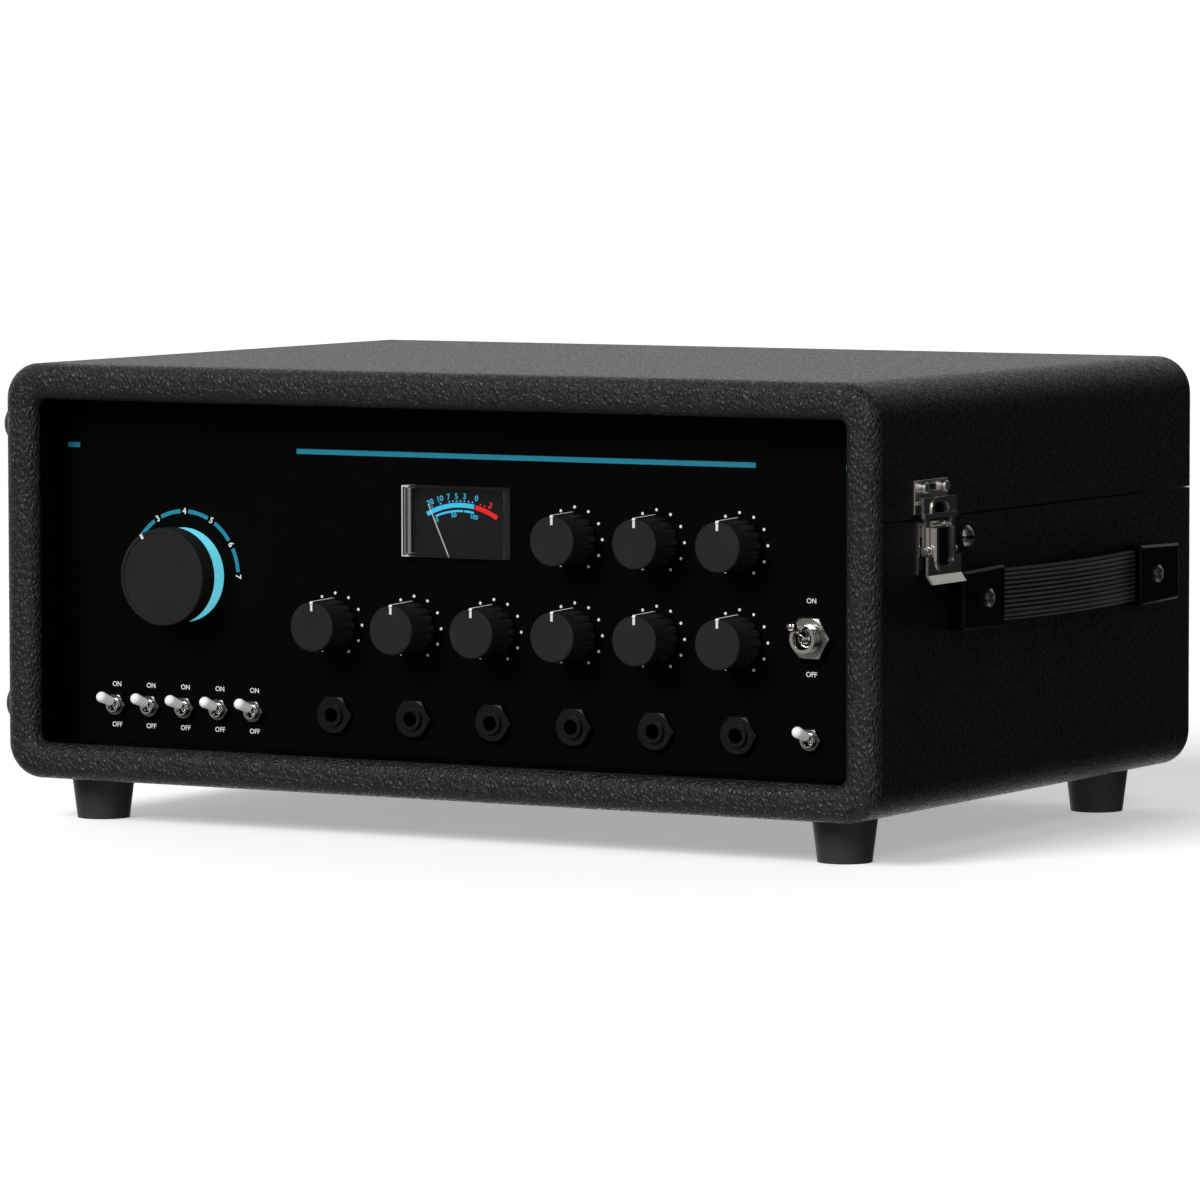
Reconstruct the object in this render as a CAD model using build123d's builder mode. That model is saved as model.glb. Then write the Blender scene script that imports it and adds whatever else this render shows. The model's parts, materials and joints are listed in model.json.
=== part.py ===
"""Tape echo unit: a covered plywood case with a hinged lid, a recessed front panel of controls,
and a loop-tape transport on a deck under the lid.

Millimetres. X runs to the right along the front, Y to the back and Z up. The origin is on the
surface the feet stand on, under the middle of the case. "Ahead" is a distance from the front of
the panel towards the player, and "rise" a height above the underside of the case.
"""

import os
from math import cos, radians, sin

from build123d import *

os.makedirs("parts", exist_ok=True)

# ---------------------------------------------------------------- driving dimensions
# Case
case_width = 434.0
case_depth = 303.0
case_height = 183.0
case_wall = 12.0
case_corner = 16.0
back_edge_radius = 2.5
foot_height = 19.0
lid_height = 58.3  # from the joint between the case and its lid to the top
seam_gap = 0.5
lid_clearance = 0.4  # between the lid and what it closes over

# Front frame: a half-round roll all round the front opening, and a liner that holds the panel
frame_width = 15.8
roll_depth = 6.5
roll_radius = 6.2
opening_corner = 4.0
panel_setback = 27.0
liner_clearance = 0.2

# Panel; an inset is a distance from the side of the case
panel_thickness = 2.0
panel_clearance = 0.4
first_column_inset = 155.5
last_column_inset = 78.5
column_count = 6
upper_row_columns = (3, 4, 5)
upper_row_rise = 112.6
lower_row_rise = 71.7
jack_rise = 32.3
mode_inset = 77.8
mode_rise = 90.6
mini_toggle_pitch = 18.0
mini_toggle_count = 5
mini_toggle_rise = 31.9
right_column_inset = 44.2
power_toggle_rise = 74.6

# Small knobs: a smooth cap that runs out into a fluted skirt, with a raised pointer line
knob_gap = 1.8
knob_height = 18.1
knob_face_radius = 10.6
knob_waist_radius = 10.8
knob_skirt_radius = 11.1
knob_skirt_height = 11.0
knob_flutes = 16
knob_flute_depth = 0.9
knob_flute_runout = 0.1  # depth of the flutes where they meet the smooth cap
knob_edge = 0.5
pointer_width = 1.5
pointer_length = 3.7
pointer_depth = 0.4
pointer_rib = 0.45  # height of the line above the side of the knob

# Mode knob: a broad cap on a coloured skirt, with a mark on its rim at one of the positions
mode_cap_radius = 21.3
mode_cap_height = 10.0
mode_skirt_radius = 20.7
mode_skirt_height = 8.5
mode_skirt_gap = 0.5
mode_rim_width = 1.7
mode_dish_depth = 0.5
mode_mark_size = 2.4
mode_mark_angle = -30.0  # from straight up, towards the left
skirt_seat = 0.05

# Pots and their shafts
shaft_radius = 3.0
shaft_fit = 0.05
shaft_reach = 9.0  # how far a shaft goes into its knob
bushing_radius = 3.5
bushing_clearance = 0.1
pot_radius = 8.2
pot_depth = 9.5
switch_radius = 15.0
switch_depth = 14.0

# Toggle switches
mini_bushing_radius = 3.1
mini_bushing_height = 4.4
mini_bore_radius = 2.5
mini_nut_across = 9.0
mini_nut_height = 2.4
mini_lever_length = 13.0
mini_neck_radius = 0.8
mini_cap_radius = 2.4
mini_cap_root = 1.9
mini_cap_start = 5.7
mini_body = (7.0, 11.0, 12.0)
mini_tilt = 18.5
mini_pivot = 0.0  # ahead of the panel
power_bushing_radius = 5.9
power_bushing_height = 8.5
power_bore_radius = 4.5
power_nut_across = 17.0
power_nut_height = 3.2
power_lever_length = 15.6
power_neck_radius = 1.3
power_lever_root = 1.5
power_ball_radius = 2.4
power_body = (17.0, 28.0, 22.0)
power_tilt = 22.5
power_pivot = 3.0
toggle_fit = 0.08
nut_half_side = 30.0  # half the angle that one side of a nut spans

# Jack sockets for quarter-inch plugs
jack_bore_radius = 3.25
jack_bore_depth = 30.0
jack_bushing_radius = 4.9
jack_bushing_height = 4.0
jack_nut_across = 15.8
jack_nut_height = 2.6
jack_body = 15.0
jack_body_end = 3.0

# Level meter
meter_knob_gap = 58.1  # from the meter to the first knob of the upper row
meter_width = 51.7
meter_glass_height = 30.6
meter_rise = 117.9
meter_glass_ahead = 4.3
meter_glass_wall = 1.2
meter_glass_edge = 0.6
meter_fit = 0.3
meter_pivot_rise = 89.6
meter_housing_width = 58.0
meter_housing_depth = 24.0
meter_housing_wall = 1.6
meter_housing_drop = 7.6  # below the pivot
needle_length = 39.0
needle_width = 0.4
needle_thickness = 0.35
needle_gap = 0.3
needle_angle = -24.4  # from straight up, towards the left
needle_hub_radius = 2.2
needle_staff_radius = 0.8
needle_tail = 4.0
dial_thickness = 0.6

# Deck and chassis
chassis_sheet = 1.2
chassis_side_gap = 2.0
chassis_flange = 12.0
chassis_bend = 2.0
deck_drop = 47.0  # below the top of the case
deck_thickness = 2.0
deck_side_gap = 0.6
vent_length = 34.0
vent_width = 3.0
vent_pitch = 7.0
vent_rows = 6
vent_columns = 4
vent_spacing = 46.0
vent_middle_x = -60.0
vent_middle_rise = 62.0
back_opening_margin = 20.0
back_opening_low = 26.0
back_opening_high = 104.0

# Tape transport, on the deck
tape_width = 6.35
tape_thickness = 0.3
tape_lift = 2.2  # lower edge of the tape above the deck
head_line_setback = 88.5  # from the panel to the straight run of tape past the heads
tank_left_gap = 25.0  # between the tank and the inside of the case
tank_right_gap = 27.0
tank_back_gap = 11.5
tank_head_gap = 42.0  # between the tank and the straight run of tape
tank_wall = 2.0
tank_height = 11.5
tank_corner = 14.0
tank_floor = 1.4
tank_cover_thickness = 2.0
tank_port = 26.0  # gap in the tank's wall where the tape goes in or out
fold_count = 10
fold_flat = 6.0  # the flat stretch between the two turns of a fold
fold_margin = 9.0
tank_ear_radius = 9.0
tank_ear_reach = 4.0
capstan_inset = 25.0  # from the end of the straight run of tape
capstan_radius = 3.0
capstan_height = 15.0
capstan_fit = 0.05
flywheel_radius = 26.0
flywheel_height = 8.0
flywheel_gap = 1.5
motor_radius = 24.0
motor_height = 34.0
motor_post_radius = 2.5
motor_post_circle = 31.0
roller_radius = 11.0
roller_height = 9.0
roller_pin_radius = 2.0
roller_retract = 4.0  # free distance between the roller and the tape when the arm is let go
arm_length = 42.0
arm_width = 10.0
arm_thickness = 1.4
arm_gap = 0.3
arm_post_radius = 3.0
guide_radius = 3.5
guide_flange_radius = 5.0
guide_flange_height = 1.0
guide_near_gap = 28.0  # from the capstan
guide_far_gap = 59.0  # from the other end of the straight run
head_width = 15.0
head_depth = 13.0
head_height = 12.0
head_nose = 4.0
head_count = 5
head_tape_gap = 0.1

# Inside, under the deck
board_size = (232.0, 118.0)
board_side_gap = 7.8  # from the board to the side of the chassis
board_back_gap = 27.0  # from the board to the reverb tank
board_thickness = 1.6
board_lift = 8.0
board_foot = 3.0
board_part_count = 9
board_part_pitch = 24.0
board_can_radius = 5.0
board_can_height = 16.0
board_chip = (10.0, 7.0)
board_chip_height = 3.5
transformer_side_gap = 50.0
transformer_back_gap = 61.3
transformer_core = (62.0, 34.0, 52.0)
transformer_coil = (40.0, 58.0, 34.0)
reverb_size = (235.0, 40.0, 32.0)
reverb_side_gap = 10.3
reverb_back_gap = 10.3
reverb_sheet = 1.2
reverb_spring_radius = 3.0

# Mains inlet in the back of the chassis
inlet_side_gap = 38.3  # from the inlet to the side of the chassis
inlet_rise = 50.0
inlet_width = 27.0
inlet_height = 19.6
inlet_cavity = (24.4, 16.6)
inlet_cavity_depth = 15.0
inlet_depth = 21.0
inlet_flange = 2.0
inlet_flange_margin = 3.0
inlet_pin = (2.0, 4.0)
inlet_pin_spread = 7.0
inlet_pin_step = 2.0

# Feet, hinges, latches and handle
foot_top_radius = 14.0
foot_bottom_radius = 11.6
foot_inset_x = 31.0
foot_inset_y = 32.0
foot_recess_radius = 6.0
foot_recess_depth = 12.0
side_foot_radius = 9.3
side_foot_height = 9.0
side_foot_dome = 6.0
side_foot_inset = 20.0
side_foot_low_rise = 31.5
side_foot_high_drop = 27.5
screw_shank_radius = 2.0
screw_shank_reach = 8.0
screw_fit = 0.05
foot_screw_head_radius = 4.5
foot_screw_head_height = 2.4
side_screw_head_radius = 4.9
side_screw_head_height = 3.0
side_screw_rim = 0.6
side_screw_y = 82.5  # behind the front of the case
side_screw_rise = 115.2
slot_width = 1.2
slot_depth = 1.1
thumbscrew_radius = 5.0
thumbscrew_height = 5.0

hinge_x = 120.0
hinge_length = 64.0
hinge_sheet = 1.5
hinge_leaf_height = 24.0
hinge_knuckle_radius = 3.2
hinge_wall_gap = 0.4
hinge_pin_radius = 1.5
hinge_fit = 0.05
hinge_end_gap = 0.3

latch_y = 48.0  # behind the front of the case
latch_width = 30.0
latch_sheet = 1.2
latch_pivot_out = 3.8
latch_pivot_drop = 3.2  # below the seam
latch_pin_radius = 1.2
latch_fit = 0.05
latch_eye_radius = 2.0
latch_throw = 9.6  # from the lever's pivot to the bail's
latch_neck_width = 19.0
latch_face_out = 7.5
latch_tab_drop = 26.4
latch_stamping = 0.5
latch_stamping_drop = 19.2  # below the seam
latch_stamping_width = 13.4
latch_stamping_corner = 3.2
latch_bead_width = 2.0
latch_bead_height = 0.6
latch_lip_out = 10.0
latch_lip_height = 3.6
latch_base_width = 23.0
latch_base_drop = 1.0  # below the seam
latch_bail_out = 5.4
latch_bail_leg = 2.8
latch_bail_bar_low = 0.8  # above the seam
latch_bail_bar_high = 9.4
latch_bail_lip = 1.4
latch_keeper_low = 2.4
latch_keeper_high = 16.6
latch_ledge_rise = 6.4
latch_ledge_out = 3.1
latch_hook_clearance = 0.3
latch_window = (8.6, 2.6)  # between the two heads of the keeper
rivet_radius = 2.6
rivet_height = 3.0
rivet_rise = 13.4
rivet_spread = 9.2

handle_start = 64.0  # front end of the handle, behind the front of the case
handle_end = 273.0
handle_rise = 89.4
handle_cap_length = 38.5
handle_cap_inner = 26.6
handle_cap_outer = 24.6
handle_cap_out = 8.6
handle_cap_edge = 1.2
handle_screw_inset = 22.6
handle_screw_radius = 3.9
handle_screw_head = 2.2
handle_screw_rim = 0.7
handle_screw_recess = 4.4  # across the arms of its cross
strap_width = 21.8
strap_thickness = 3.4
strap_fit = 0.3
strap_end_out = 1.6
strap_bow = 7.4  # inside of the strap from the case at mid length
strap_pocket_length = 26.0
strap_groove_count = 7
strap_groove_pitch = 1.95
strap_groove_width = 1.0
strap_groove_depth = 0.6

# ---------------------------------------------------------------- places worked out from them
front_y = -case_depth / 2
back_y = case_depth / 2
side_x = case_width / 2
case_bottom = foot_height
case_top = foot_height + case_height
case_middle = foot_height + case_height / 2
seam = case_top - lid_height
ring_back = front_y + roll_depth
panel_front = front_y + panel_setback
panel_back = panel_front + panel_thickness
inner_width = case_width - 2 * case_wall
inner_height = case_height - 2 * case_wall
inner_corner = case_corner - case_wall
floor_top = case_bottom + case_wall
wall_back = back_y - case_wall
opening_width = case_width - 2 * frame_width
opening_height = case_height - 2 * frame_width
deck_bottom = case_top - deck_drop
deck_top = deck_bottom + deck_thickness
tape_low = deck_top + tape_lift
mode_x = -side_x + mode_inset
right_column = side_x - right_column_inset
first_column = -side_x + first_column_inset
column_pitch = (side_x - last_column_inset - first_column) / (column_count - 1)
columns = [first_column + i * column_pitch for i in range(column_count)]
meter_x = columns[upper_row_columns[0]] - meter_knob_gap
big = 3 * case_width


def facing_front(x=0.0, y=0.0, z=0.0):
    """A plane seen from the front: its own x is X, its own y is Z, and it faces the player."""
    return Plane(origin=(x, y, z), x_dir=(1, 0, 0), z_dir=(0, -1, 0))


def on_panel(x, rise, ahead=0.0):
    """A plane parallel to the panel, at a distance ahead of its front face."""
    return facing_front(x, panel_front - ahead, foot_height + rise)


def facing_right(x=0.0, y=0.0, z=0.0):
    """A plane seen from the right: its own x is Y, its own y is Z."""
    return Plane(origin=(x, y, z), x_dir=(0, 1, 0), z_dir=(1, 0, 0))


def save(name, part):
    """Label a finished piece and write it as its own node."""
    part.label = name
    export_step(part, f"parts/{name}.step")


# ---------------------------------------------------------------- case, frame and lid
def case_shell(low, high, wall, front, label):
    """The part of the covered box between two heights, open at the front, with its back wall."""
    with BuildPart() as shell:
        with BuildSketch(facing_front(0, front, case_middle)):
            RectangleRounded(case_width, case_height, case_corner)
        extrude(amount=front - back_y)
        fillet(shell.faces().sort_by(Axis.Y)[-1].edges(), back_edge_radius)
        with BuildSketch(facing_front(0, front, case_middle)):
            RectangleRounded(case_width - 2 * wall, case_height - 2 * wall, inner_corner)
        extrude(amount=front - wall_back, mode=Mode.SUBTRACT)
        with BuildSketch(Plane.XY.offset(low)):
            Rectangle(big, big)
        extrude(amount=-big, mode=Mode.SUBTRACT)
        with BuildSketch(Plane.XY.offset(high)):
            Rectangle(big, big)
        extrude(amount=big, mode=Mode.SUBTRACT)
    shell.part.label = label
    return shell.part


foot_places = [
    (x, y)
    for x in (-side_x + foot_inset_x, side_x - foot_inset_x)
    for y in (front_y + foot_inset_y, back_y - foot_inset_y)
]
side_screw_place = (front_y + side_screw_y, foot_height + side_screw_rise)
handle_z = foot_height + handle_rise
handle_screw_places = [
    (front_y + handle_start + handle_screw_inset, handle_z),
    (front_y + handle_end - handle_screw_inset, handle_z),
]
hole_radius = screw_shank_radius + screw_fit
hole_depth = screw_shank_reach + screw_fit

with BuildPart() as case_body:
    add(case_shell(case_bottom, seam, case_wall, ring_back, "shell"))
    # opening at the back that shows the rear of the chassis
    back_opening_width = inner_width - 2 * back_opening_margin
    back_opening_height = back_opening_high - back_opening_low
    back_opening_middle = foot_height + (back_opening_high + back_opening_low) / 2
    with BuildSketch(facing_front(0, back_y, back_opening_middle)):
        RectangleRounded(back_opening_width, back_opening_height, inner_corner)
    extrude(amount=case_wall, mode=Mode.SUBTRACT)
    # pilot holes for the screws of the feet, the handle and the two sides
    with BuildSketch(Plane.XY.offset(case_bottom)):
        with Locations(*foot_places):
            Circle(hole_radius)
    extrude(amount=hole_depth, mode=Mode.SUBTRACT)
    with BuildSketch(facing_right(side_x)):
        with Locations(side_screw_place, *handle_screw_places):
            Circle(hole_radius)
    extrude(amount=-hole_depth, mode=Mode.SUBTRACT)
    with BuildSketch(facing_right(-side_x)):
        with Locations(side_screw_place):
            Circle(hole_radius)
    extrude(amount=hole_depth, mode=Mode.SUBTRACT)
save("case_body", case_body.part)

with BuildPart() as front_frame:
    with BuildSketch(facing_front(0, ring_back, case_middle)):
        RectangleRounded(case_width, case_height, case_corner)
        RectangleRounded(opening_width, opening_height, opening_corner, mode=Mode.SUBTRACT)
    extrude(amount=roll_depth)
    fillet(front_frame.faces().sort_by(Axis.Y)[0].edges(), roll_radius)
    liner_width = inner_width - 2 * liner_clearance
    liner_height = inner_height - 2 * liner_clearance
    with BuildSketch(facing_front(0, ring_back, case_middle)):
        RectangleRounded(liner_width, liner_height, inner_corner)
        RectangleRounded(opening_width, opening_height, opening_corner, mode=Mode.SUBTRACT)
    extrude(amount=ring_back - panel_front)
save("front_frame", front_frame.part)

lid_front = ring_back + lid_clearance
with BuildPart() as lid:
    add(case_shell(seam + seam_gap, case_top, case_wall - lid_clearance, lid_front, "shell"))
save("lid", lid.part)

with BuildPart() as bottom_feet:
    with Locations(*[(x, y, 0) for x, y in foot_places]):
        Cone(
            foot_bottom_radius,
            foot_top_radius,
            foot_height,
            align=(Align.CENTER, Align.CENTER, Align.MIN),
        )
    with BuildSketch(Plane.XY):
        with Locations(*foot_places):
            Circle(foot_recess_radius)
    extrude(amount=foot_recess_depth, mode=Mode.SUBTRACT)
    with BuildSketch(Plane.XY.offset(foot_recess_depth)):
        with Locations(*foot_places):
            Circle(hole_radius)
    extrude(amount=foot_height - foot_recess_depth, mode=Mode.SUBTRACT)
save("bottom_feet", bottom_feet.part)


def side_feet(name, height):
    """Two domed feet for standing the case on its left side, at one height."""
    with BuildPart() as feet:
        for y in (front_y + side_foot_inset, back_y - side_foot_inset):
            place = Plane(origin=(-side_x, y, height), x_dir=(0, 1, 0), z_dir=(-1, 0, 0))
            with BuildSketch(place):
                Circle(side_foot_radius)
            extrude(amount=side_foot_height)
        fillet(feet.faces().filter_by(Axis.X).group_by(Axis.X)[0].edges(), side_foot_dome)
    save(name, feet.part)


side_feet("case_side_feet", case_bottom + side_foot_low_rise)
side_feet("lid_side_feet", case_top - side_foot_high_drop)

# ---------------------------------------------------------------- lid hinges at the back
hinge_y = back_y + hinge_knuckle_radius + hinge_wall_gap
hinge_z = seam + seam_gap / 2
knuckle_length = hinge_length / 4
middle_length = hinge_length - 2 * knuckle_length
hinge_places = (-hinge_x, hinge_x)


def knuckle(x, length, bore):
    """One rolled knuckle round the hinge line, with its hole where it turns on the pin."""
    with BuildSketch(facing_right(x - length / 2, hinge_y, hinge_z)) as outline:
        Circle(hinge_knuckle_radius)
        if bore:
            Circle(hinge_pin_radius + hinge_fit, mode=Mode.SUBTRACT)
    extrude(outline.sketch, amount=length)


def leaf(x, length, near, far):
    """A strip of a hinge leaf on the back of the case, between two heights from the hinge line."""
    with BuildSketch(facing_front(x, back_y, hinge_z + (near + far) / 2)) as outline:
        Rectangle(length, abs(far - near))
    extrude(outline.sketch, amount=-hinge_sheet)


leaf_clear = hinge_knuckle_radius + hinge_end_gap
with BuildPart() as hinge_case_leaves:
    for hinge in hinge_places:
        leaf(hinge, hinge_length, -leaf_clear, -hinge_leaf_height)
        for end in (-1, 1):
            place = hinge + end * (hinge_length - knuckle_length) / 2
            leaf(place, knuckle_length, 0, -leaf_clear)
            knuckle(place, knuckle_length, bore=False)
        with BuildSketch(facing_right(hinge - hinge_length / 2, hinge_y, hinge_z)):
            Circle(hinge_pin_radius)
        extrude(amount=hinge_length)
save("hinge_case_leaves", hinge_case_leaves.part)

with BuildPart() as hinge_lid_leaves:
    for hinge in hinge_places:
        leaf(hinge, hinge_length, leaf_clear, hinge_leaf_height)
        leaf(hinge, middle_length - 2 * hinge_end_gap, seam_gap / 2, leaf_clear)
        knuckle(hinge, middle_length - 2 * hinge_end_gap, bore=True)
save("hinge_lid_leaves", hinge_lid_leaves.part)

# ---------------------------------------------------------------- draw latches on both sides
latch_middle = front_y + latch_y
pivot_x = side_x + latch_pivot_out
pivot_z = seam - latch_pivot_drop
bail_pivot_z = pivot_z - latch_throw
bail_pivot_x = side_x + latch_bail_out - latch_sheet / 2
shoulder_z = bail_pivot_z - latch_eye_radius - latch_hook_clearance
tab_bottom = seam - latch_tab_drop
neck_half = latch_neck_width / 2
ear_half = neck_half - latch_sheet - latch_fit * 2


def latch_section(offset=0.0):
    """The latch's side view, at a distance in front of (+) or behind its middle."""
    return facing_front(0, latch_middle - offset, 0)


def latch_plate(offset, thickness, low_x, high_x, low_z, high_z, mode=Mode.ADD):
    """A flat bar of a latch, centred at an offset across it, with its place given in X and Z."""
    with BuildSketch(latch_section(offset - thickness / 2)) as outline:
        with Locations(((low_x + high_x) / 2, (low_z + high_z) / 2)):
            Rectangle(high_x - low_x, high_z - low_z)
    extrude(outline.sketch, amount=thickness, mode=mode)


def latch_disc(offset, thickness, x, z, radius, mode=Mode.ADD):
    """A round eye, pin or hole across a latch."""
    with BuildSketch(latch_section(offset - thickness / 2)) as outline:
        with Locations((x, z)):
            Circle(radius)
    extrude(outline.sketch, amount=thickness, mode=mode)


def stamping_plan(out, closed_z, open_z, grow):
    """A stamping's outline on a latch's face: round at one end, running out at the other."""
    length = abs(open_z - closed_z)
    away = 1 if open_z > closed_z else -1
    with BuildSketch(facing_right(out)) as outline:
        with Locations((latch_middle, open_z)):
            RectangleRounded(
                latch_stamping_width + 2 * grow, 2 * (length + grow), latch_stamping_corner + grow
            )
        with Locations((latch_middle, open_z + away * big / 2)):
            Rectangle(big, big, mode=Mode.SUBTRACT)
    return outline.sketch


def stamp(out, closed_z, open_z):
    """A recess in a latch's face, with a raised bead round it."""
    recess = stamping_plan(out, closed_z, open_z, 0)
    extrude(stamping_plan(out, closed_z, open_z, latch_bead_width), amount=latch_bead_height)
    extrude(recess, amount=latch_bead_height, mode=Mode.SUBTRACT)
    extrude(recess, amount=-latch_stamping, mode=Mode.SUBTRACT)


with BuildPart() as latch_bases:
    latch_plate(
        0,
        latch_base_width,
        side_x,
        side_x + latch_sheet,
        tab_bottom + latch_lip_height,
        seam - latch_base_drop,
    )
    for end in (-1, 1):
        ear = end * (ear_half - latch_sheet / 2)
        latch_plate(ear, latch_sheet, side_x, pivot_x, pivot_z - 2 * latch_eye_radius, pivot_z)
        latch_disc(ear, latch_sheet, pivot_x, pivot_z, latch_eye_radius)
    latch_disc(0, latch_neck_width + 2 * latch_hook_clearance, pivot_x, pivot_z, latch_pin_radius)
    mirror(about=Plane.YZ)
save("latch_bases", latch_bases.part)

face_inner = side_x + latch_face_out - latch_sheet
with BuildPart() as latch_lever_right:
    # narrow neck between the bail's legs, with turned-in flanges that carry both pivots
    latch_plate(0, latch_neck_width, face_inner, side_x + latch_face_out, shoulder_z, pivot_z)
    for end in (-1, 1):
        flange = end * (neck_half - latch_sheet / 2)
        latch_plate(
            flange, latch_sheet, pivot_x - latch_eye_radius, face_inner, shoulder_z, pivot_z
        )
        latch_disc(flange, latch_sheet, pivot_x, pivot_z, latch_eye_radius)
    # broad finger tab with a lip
    with BuildSketch(latch_section(-latch_width / 2)):
        with BuildLine():
            Polyline(
                (face_inner, shoulder_z),
                (side_x + latch_face_out, shoulder_z),
                (side_x + latch_face_out, tab_bottom + latch_lip_height),
                (side_x + latch_lip_out, tab_bottom),
                (side_x + latch_lip_out - latch_sheet, tab_bottom),
                (face_inner, tab_bottom + latch_lip_height),
                close=True,
            )
        make_face()
    extrude(amount=latch_width)
    # stamped recess down the neck, and the pin that the bail turns on
    stamp(side_x + latch_face_out, seam - latch_stamping_drop, pivot_z)
    latch_disc(0, latch_width - latch_sheet, bail_pivot_x, bail_pivot_z, latch_pin_radius)
    latch_disc(
        0, latch_width, pivot_x, pivot_z, latch_pin_radius + latch_fit, mode=Mode.SUBTRACT
    )
save("latch_lever_right", latch_lever_right.part)

leg_middle = neck_half + 2 * latch_hook_clearance + latch_bail_leg / 2
bail_inner = side_x + latch_bail_out - latch_sheet
bail_outer = side_x + latch_bail_out
bail_low = seam + latch_bail_bar_low
bail_high = seam + latch_bail_bar_high
with BuildPart() as latch_bail_right:
    for end in (-1, 1):
        leg = end * leg_middle
        latch_plate(leg, latch_bail_leg, bail_inner, bail_outer, bail_pivot_z, bail_low)
        latch_disc(leg, latch_bail_leg, bail_pivot_x, bail_pivot_z, latch_eye_radius)
    latch_plate(0, latch_width, bail_inner, bail_outer, bail_low, bail_high)
    latch_plate(
        0,
        latch_width,
        side_x + latch_ledge_out + latch_hook_clearance,
        bail_inner,
        bail_high - latch_bail_lip,
        bail_high,
    )
    # its face is stamped as the lever's is, down to a raised bar along its lower edge
    bar_top = bail_low + latch_bead_width
    stamp(bail_outer, bail_high - latch_bead_width, bar_top)
    latch_plate(0, latch_width, bail_inner, bail_outer + latch_bead_height, bail_low, bar_top)
    latch_disc(
        0,
        latch_width,
        bail_pivot_x,
        bail_pivot_z,
        latch_pin_radius + latch_fit,
        mode=Mode.SUBTRACT,
    )
save("latch_bail_right", latch_bail_right.part)

with BuildPart() as latch_keepers:
    latch_plate(
        0, latch_width, side_x, side_x + latch_sheet, seam + latch_keeper_low, seam + latch_keeper_high
    )
    latch_plate(
        0,
        latch_width - 2 * latch_sheet,
        side_x,
        side_x + latch_ledge_out,
        seam + latch_ledge_rise,
        seam + latch_ledge_rise + latch_sheet,
    )
    for end in (-1, 1):
        rivet_place = facing_right(
            side_x + latch_sheet, latch_middle + end * rivet_spread, seam + rivet_rise
        )
        with BuildSketch(rivet_place):
            Circle(rivet_radius)
        extrude(amount=rivet_height)
    with BuildSketch(facing_right(side_x, latch_middle, seam + rivet_rise)):
        Rectangle(*latch_window)
    extrude(amount=latch_sheet, mode=Mode.SUBTRACT)
    rivet_tops = latch_keepers.edges().filter_by(GeomType.CIRCLE).group_by(Axis.X)[-1]
    fillet(rivet_tops, rivet_radius / 2)
    mirror(about=Plane.YZ)
save("latch_keepers", latch_keepers.part)

with BuildPart() as latch_lever_left:
    mirror(latch_lever_right.part, about=Plane.YZ)
save("latch_lever_left", latch_lever_left.part)

with BuildPart() as latch_bail_left:
    mirror(latch_bail_right.part, about=Plane.YZ)
save("latch_bail_left", latch_bail_left.part)

# ---------------------------------------------------------------- strap handle on the right
cap_middles = (
    front_y + handle_start + handle_cap_length / 2,
    front_y + handle_end - handle_cap_length / 2,
)
strap_start = front_y + handle_start + handle_cap_length - strap_pocket_length
strap_stop = front_y + handle_end - handle_cap_length + strap_pocket_length
handle_middle = (strap_start + strap_stop) / 2
free_start = front_y + handle_start + handle_cap_length
free_stop = front_y + handle_end - handle_cap_length


def strap_slice(near, far, middle, height, mode=Mode.ADD):
    """A level slice of the strap, between two depths from its inner face."""
    start_x = side_x + strap_end_out
    middle_x = side_x + strap_bow
    with BuildSketch(Plane.XY.offset(middle)) as outline:
        with BuildLine():
            Line((start_x + near, strap_start), (start_x + near, free_start))
            ThreePointArc(
                (start_x + near, free_start), (middle_x + near, handle_middle), (start_x + near, free_stop)
            )
            Polyline(
                (start_x + near, free_stop),
                (start_x + near, strap_stop),
                (start_x + far, strap_stop),
                (start_x + far, free_stop),
            )
            ThreePointArc(
                (start_x + far, free_stop), (middle_x + far, handle_middle), (start_x + far, free_start)
            )
            Polyline(
                (start_x + far, free_start), (start_x + far, strap_start), (start_x + near, strap_start)
            )
        make_face()
    extrude(outline.sketch, amount=height / 2, both=True, mode=mode)


with BuildPart() as handle_caps:
    for end, middle in zip((-1, 1), cap_middles):
        outer_y = middle + end * handle_cap_length / 2
        inner_y = middle - end * handle_cap_length / 2
        with BuildSketch(facing_right(side_x)):
            with BuildLine():
                Polyline(
                    (outer_y, handle_z - handle_cap_outer / 2),
                    (inner_y, handle_z - handle_cap_inner / 2),
                    (inner_y, handle_z + handle_cap_inner / 2),
                    (outer_y, handle_z + handle_cap_outer / 2),
                    close=True,
                )
            make_face()
        extrude(amount=handle_cap_out)
    chamfer(handle_caps.faces().filter_by(Axis.X).group_by(Axis.X)[-1].edges(), handle_cap_edge)
    # the slot that the strap slides in, and the screw's hole
    for end, middle in zip((-1, 1), cap_middles):
        inner_y = middle - end * handle_cap_length / 2
        pocket_middle = inner_y + end * (strap_pocket_length + strap_fit) / 2
        with BuildSketch(facing_right(side_x)):
            with Locations((pocket_middle, handle_z)):
                Rectangle(strap_pocket_length + strap_fit, strap_width + 2 * strap_fit)
        extrude(
            amount=strap_end_out + strap_thickness + strap_fit, mode=Mode.SUBTRACT
        )
    with BuildSketch(facing_right(side_x)):
        with Locations(*handle_screw_places):
            Circle(hole_radius)
    extrude(amount=handle_cap_out, mode=Mode.SUBTRACT)
save("handle_caps", handle_caps.part)

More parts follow.
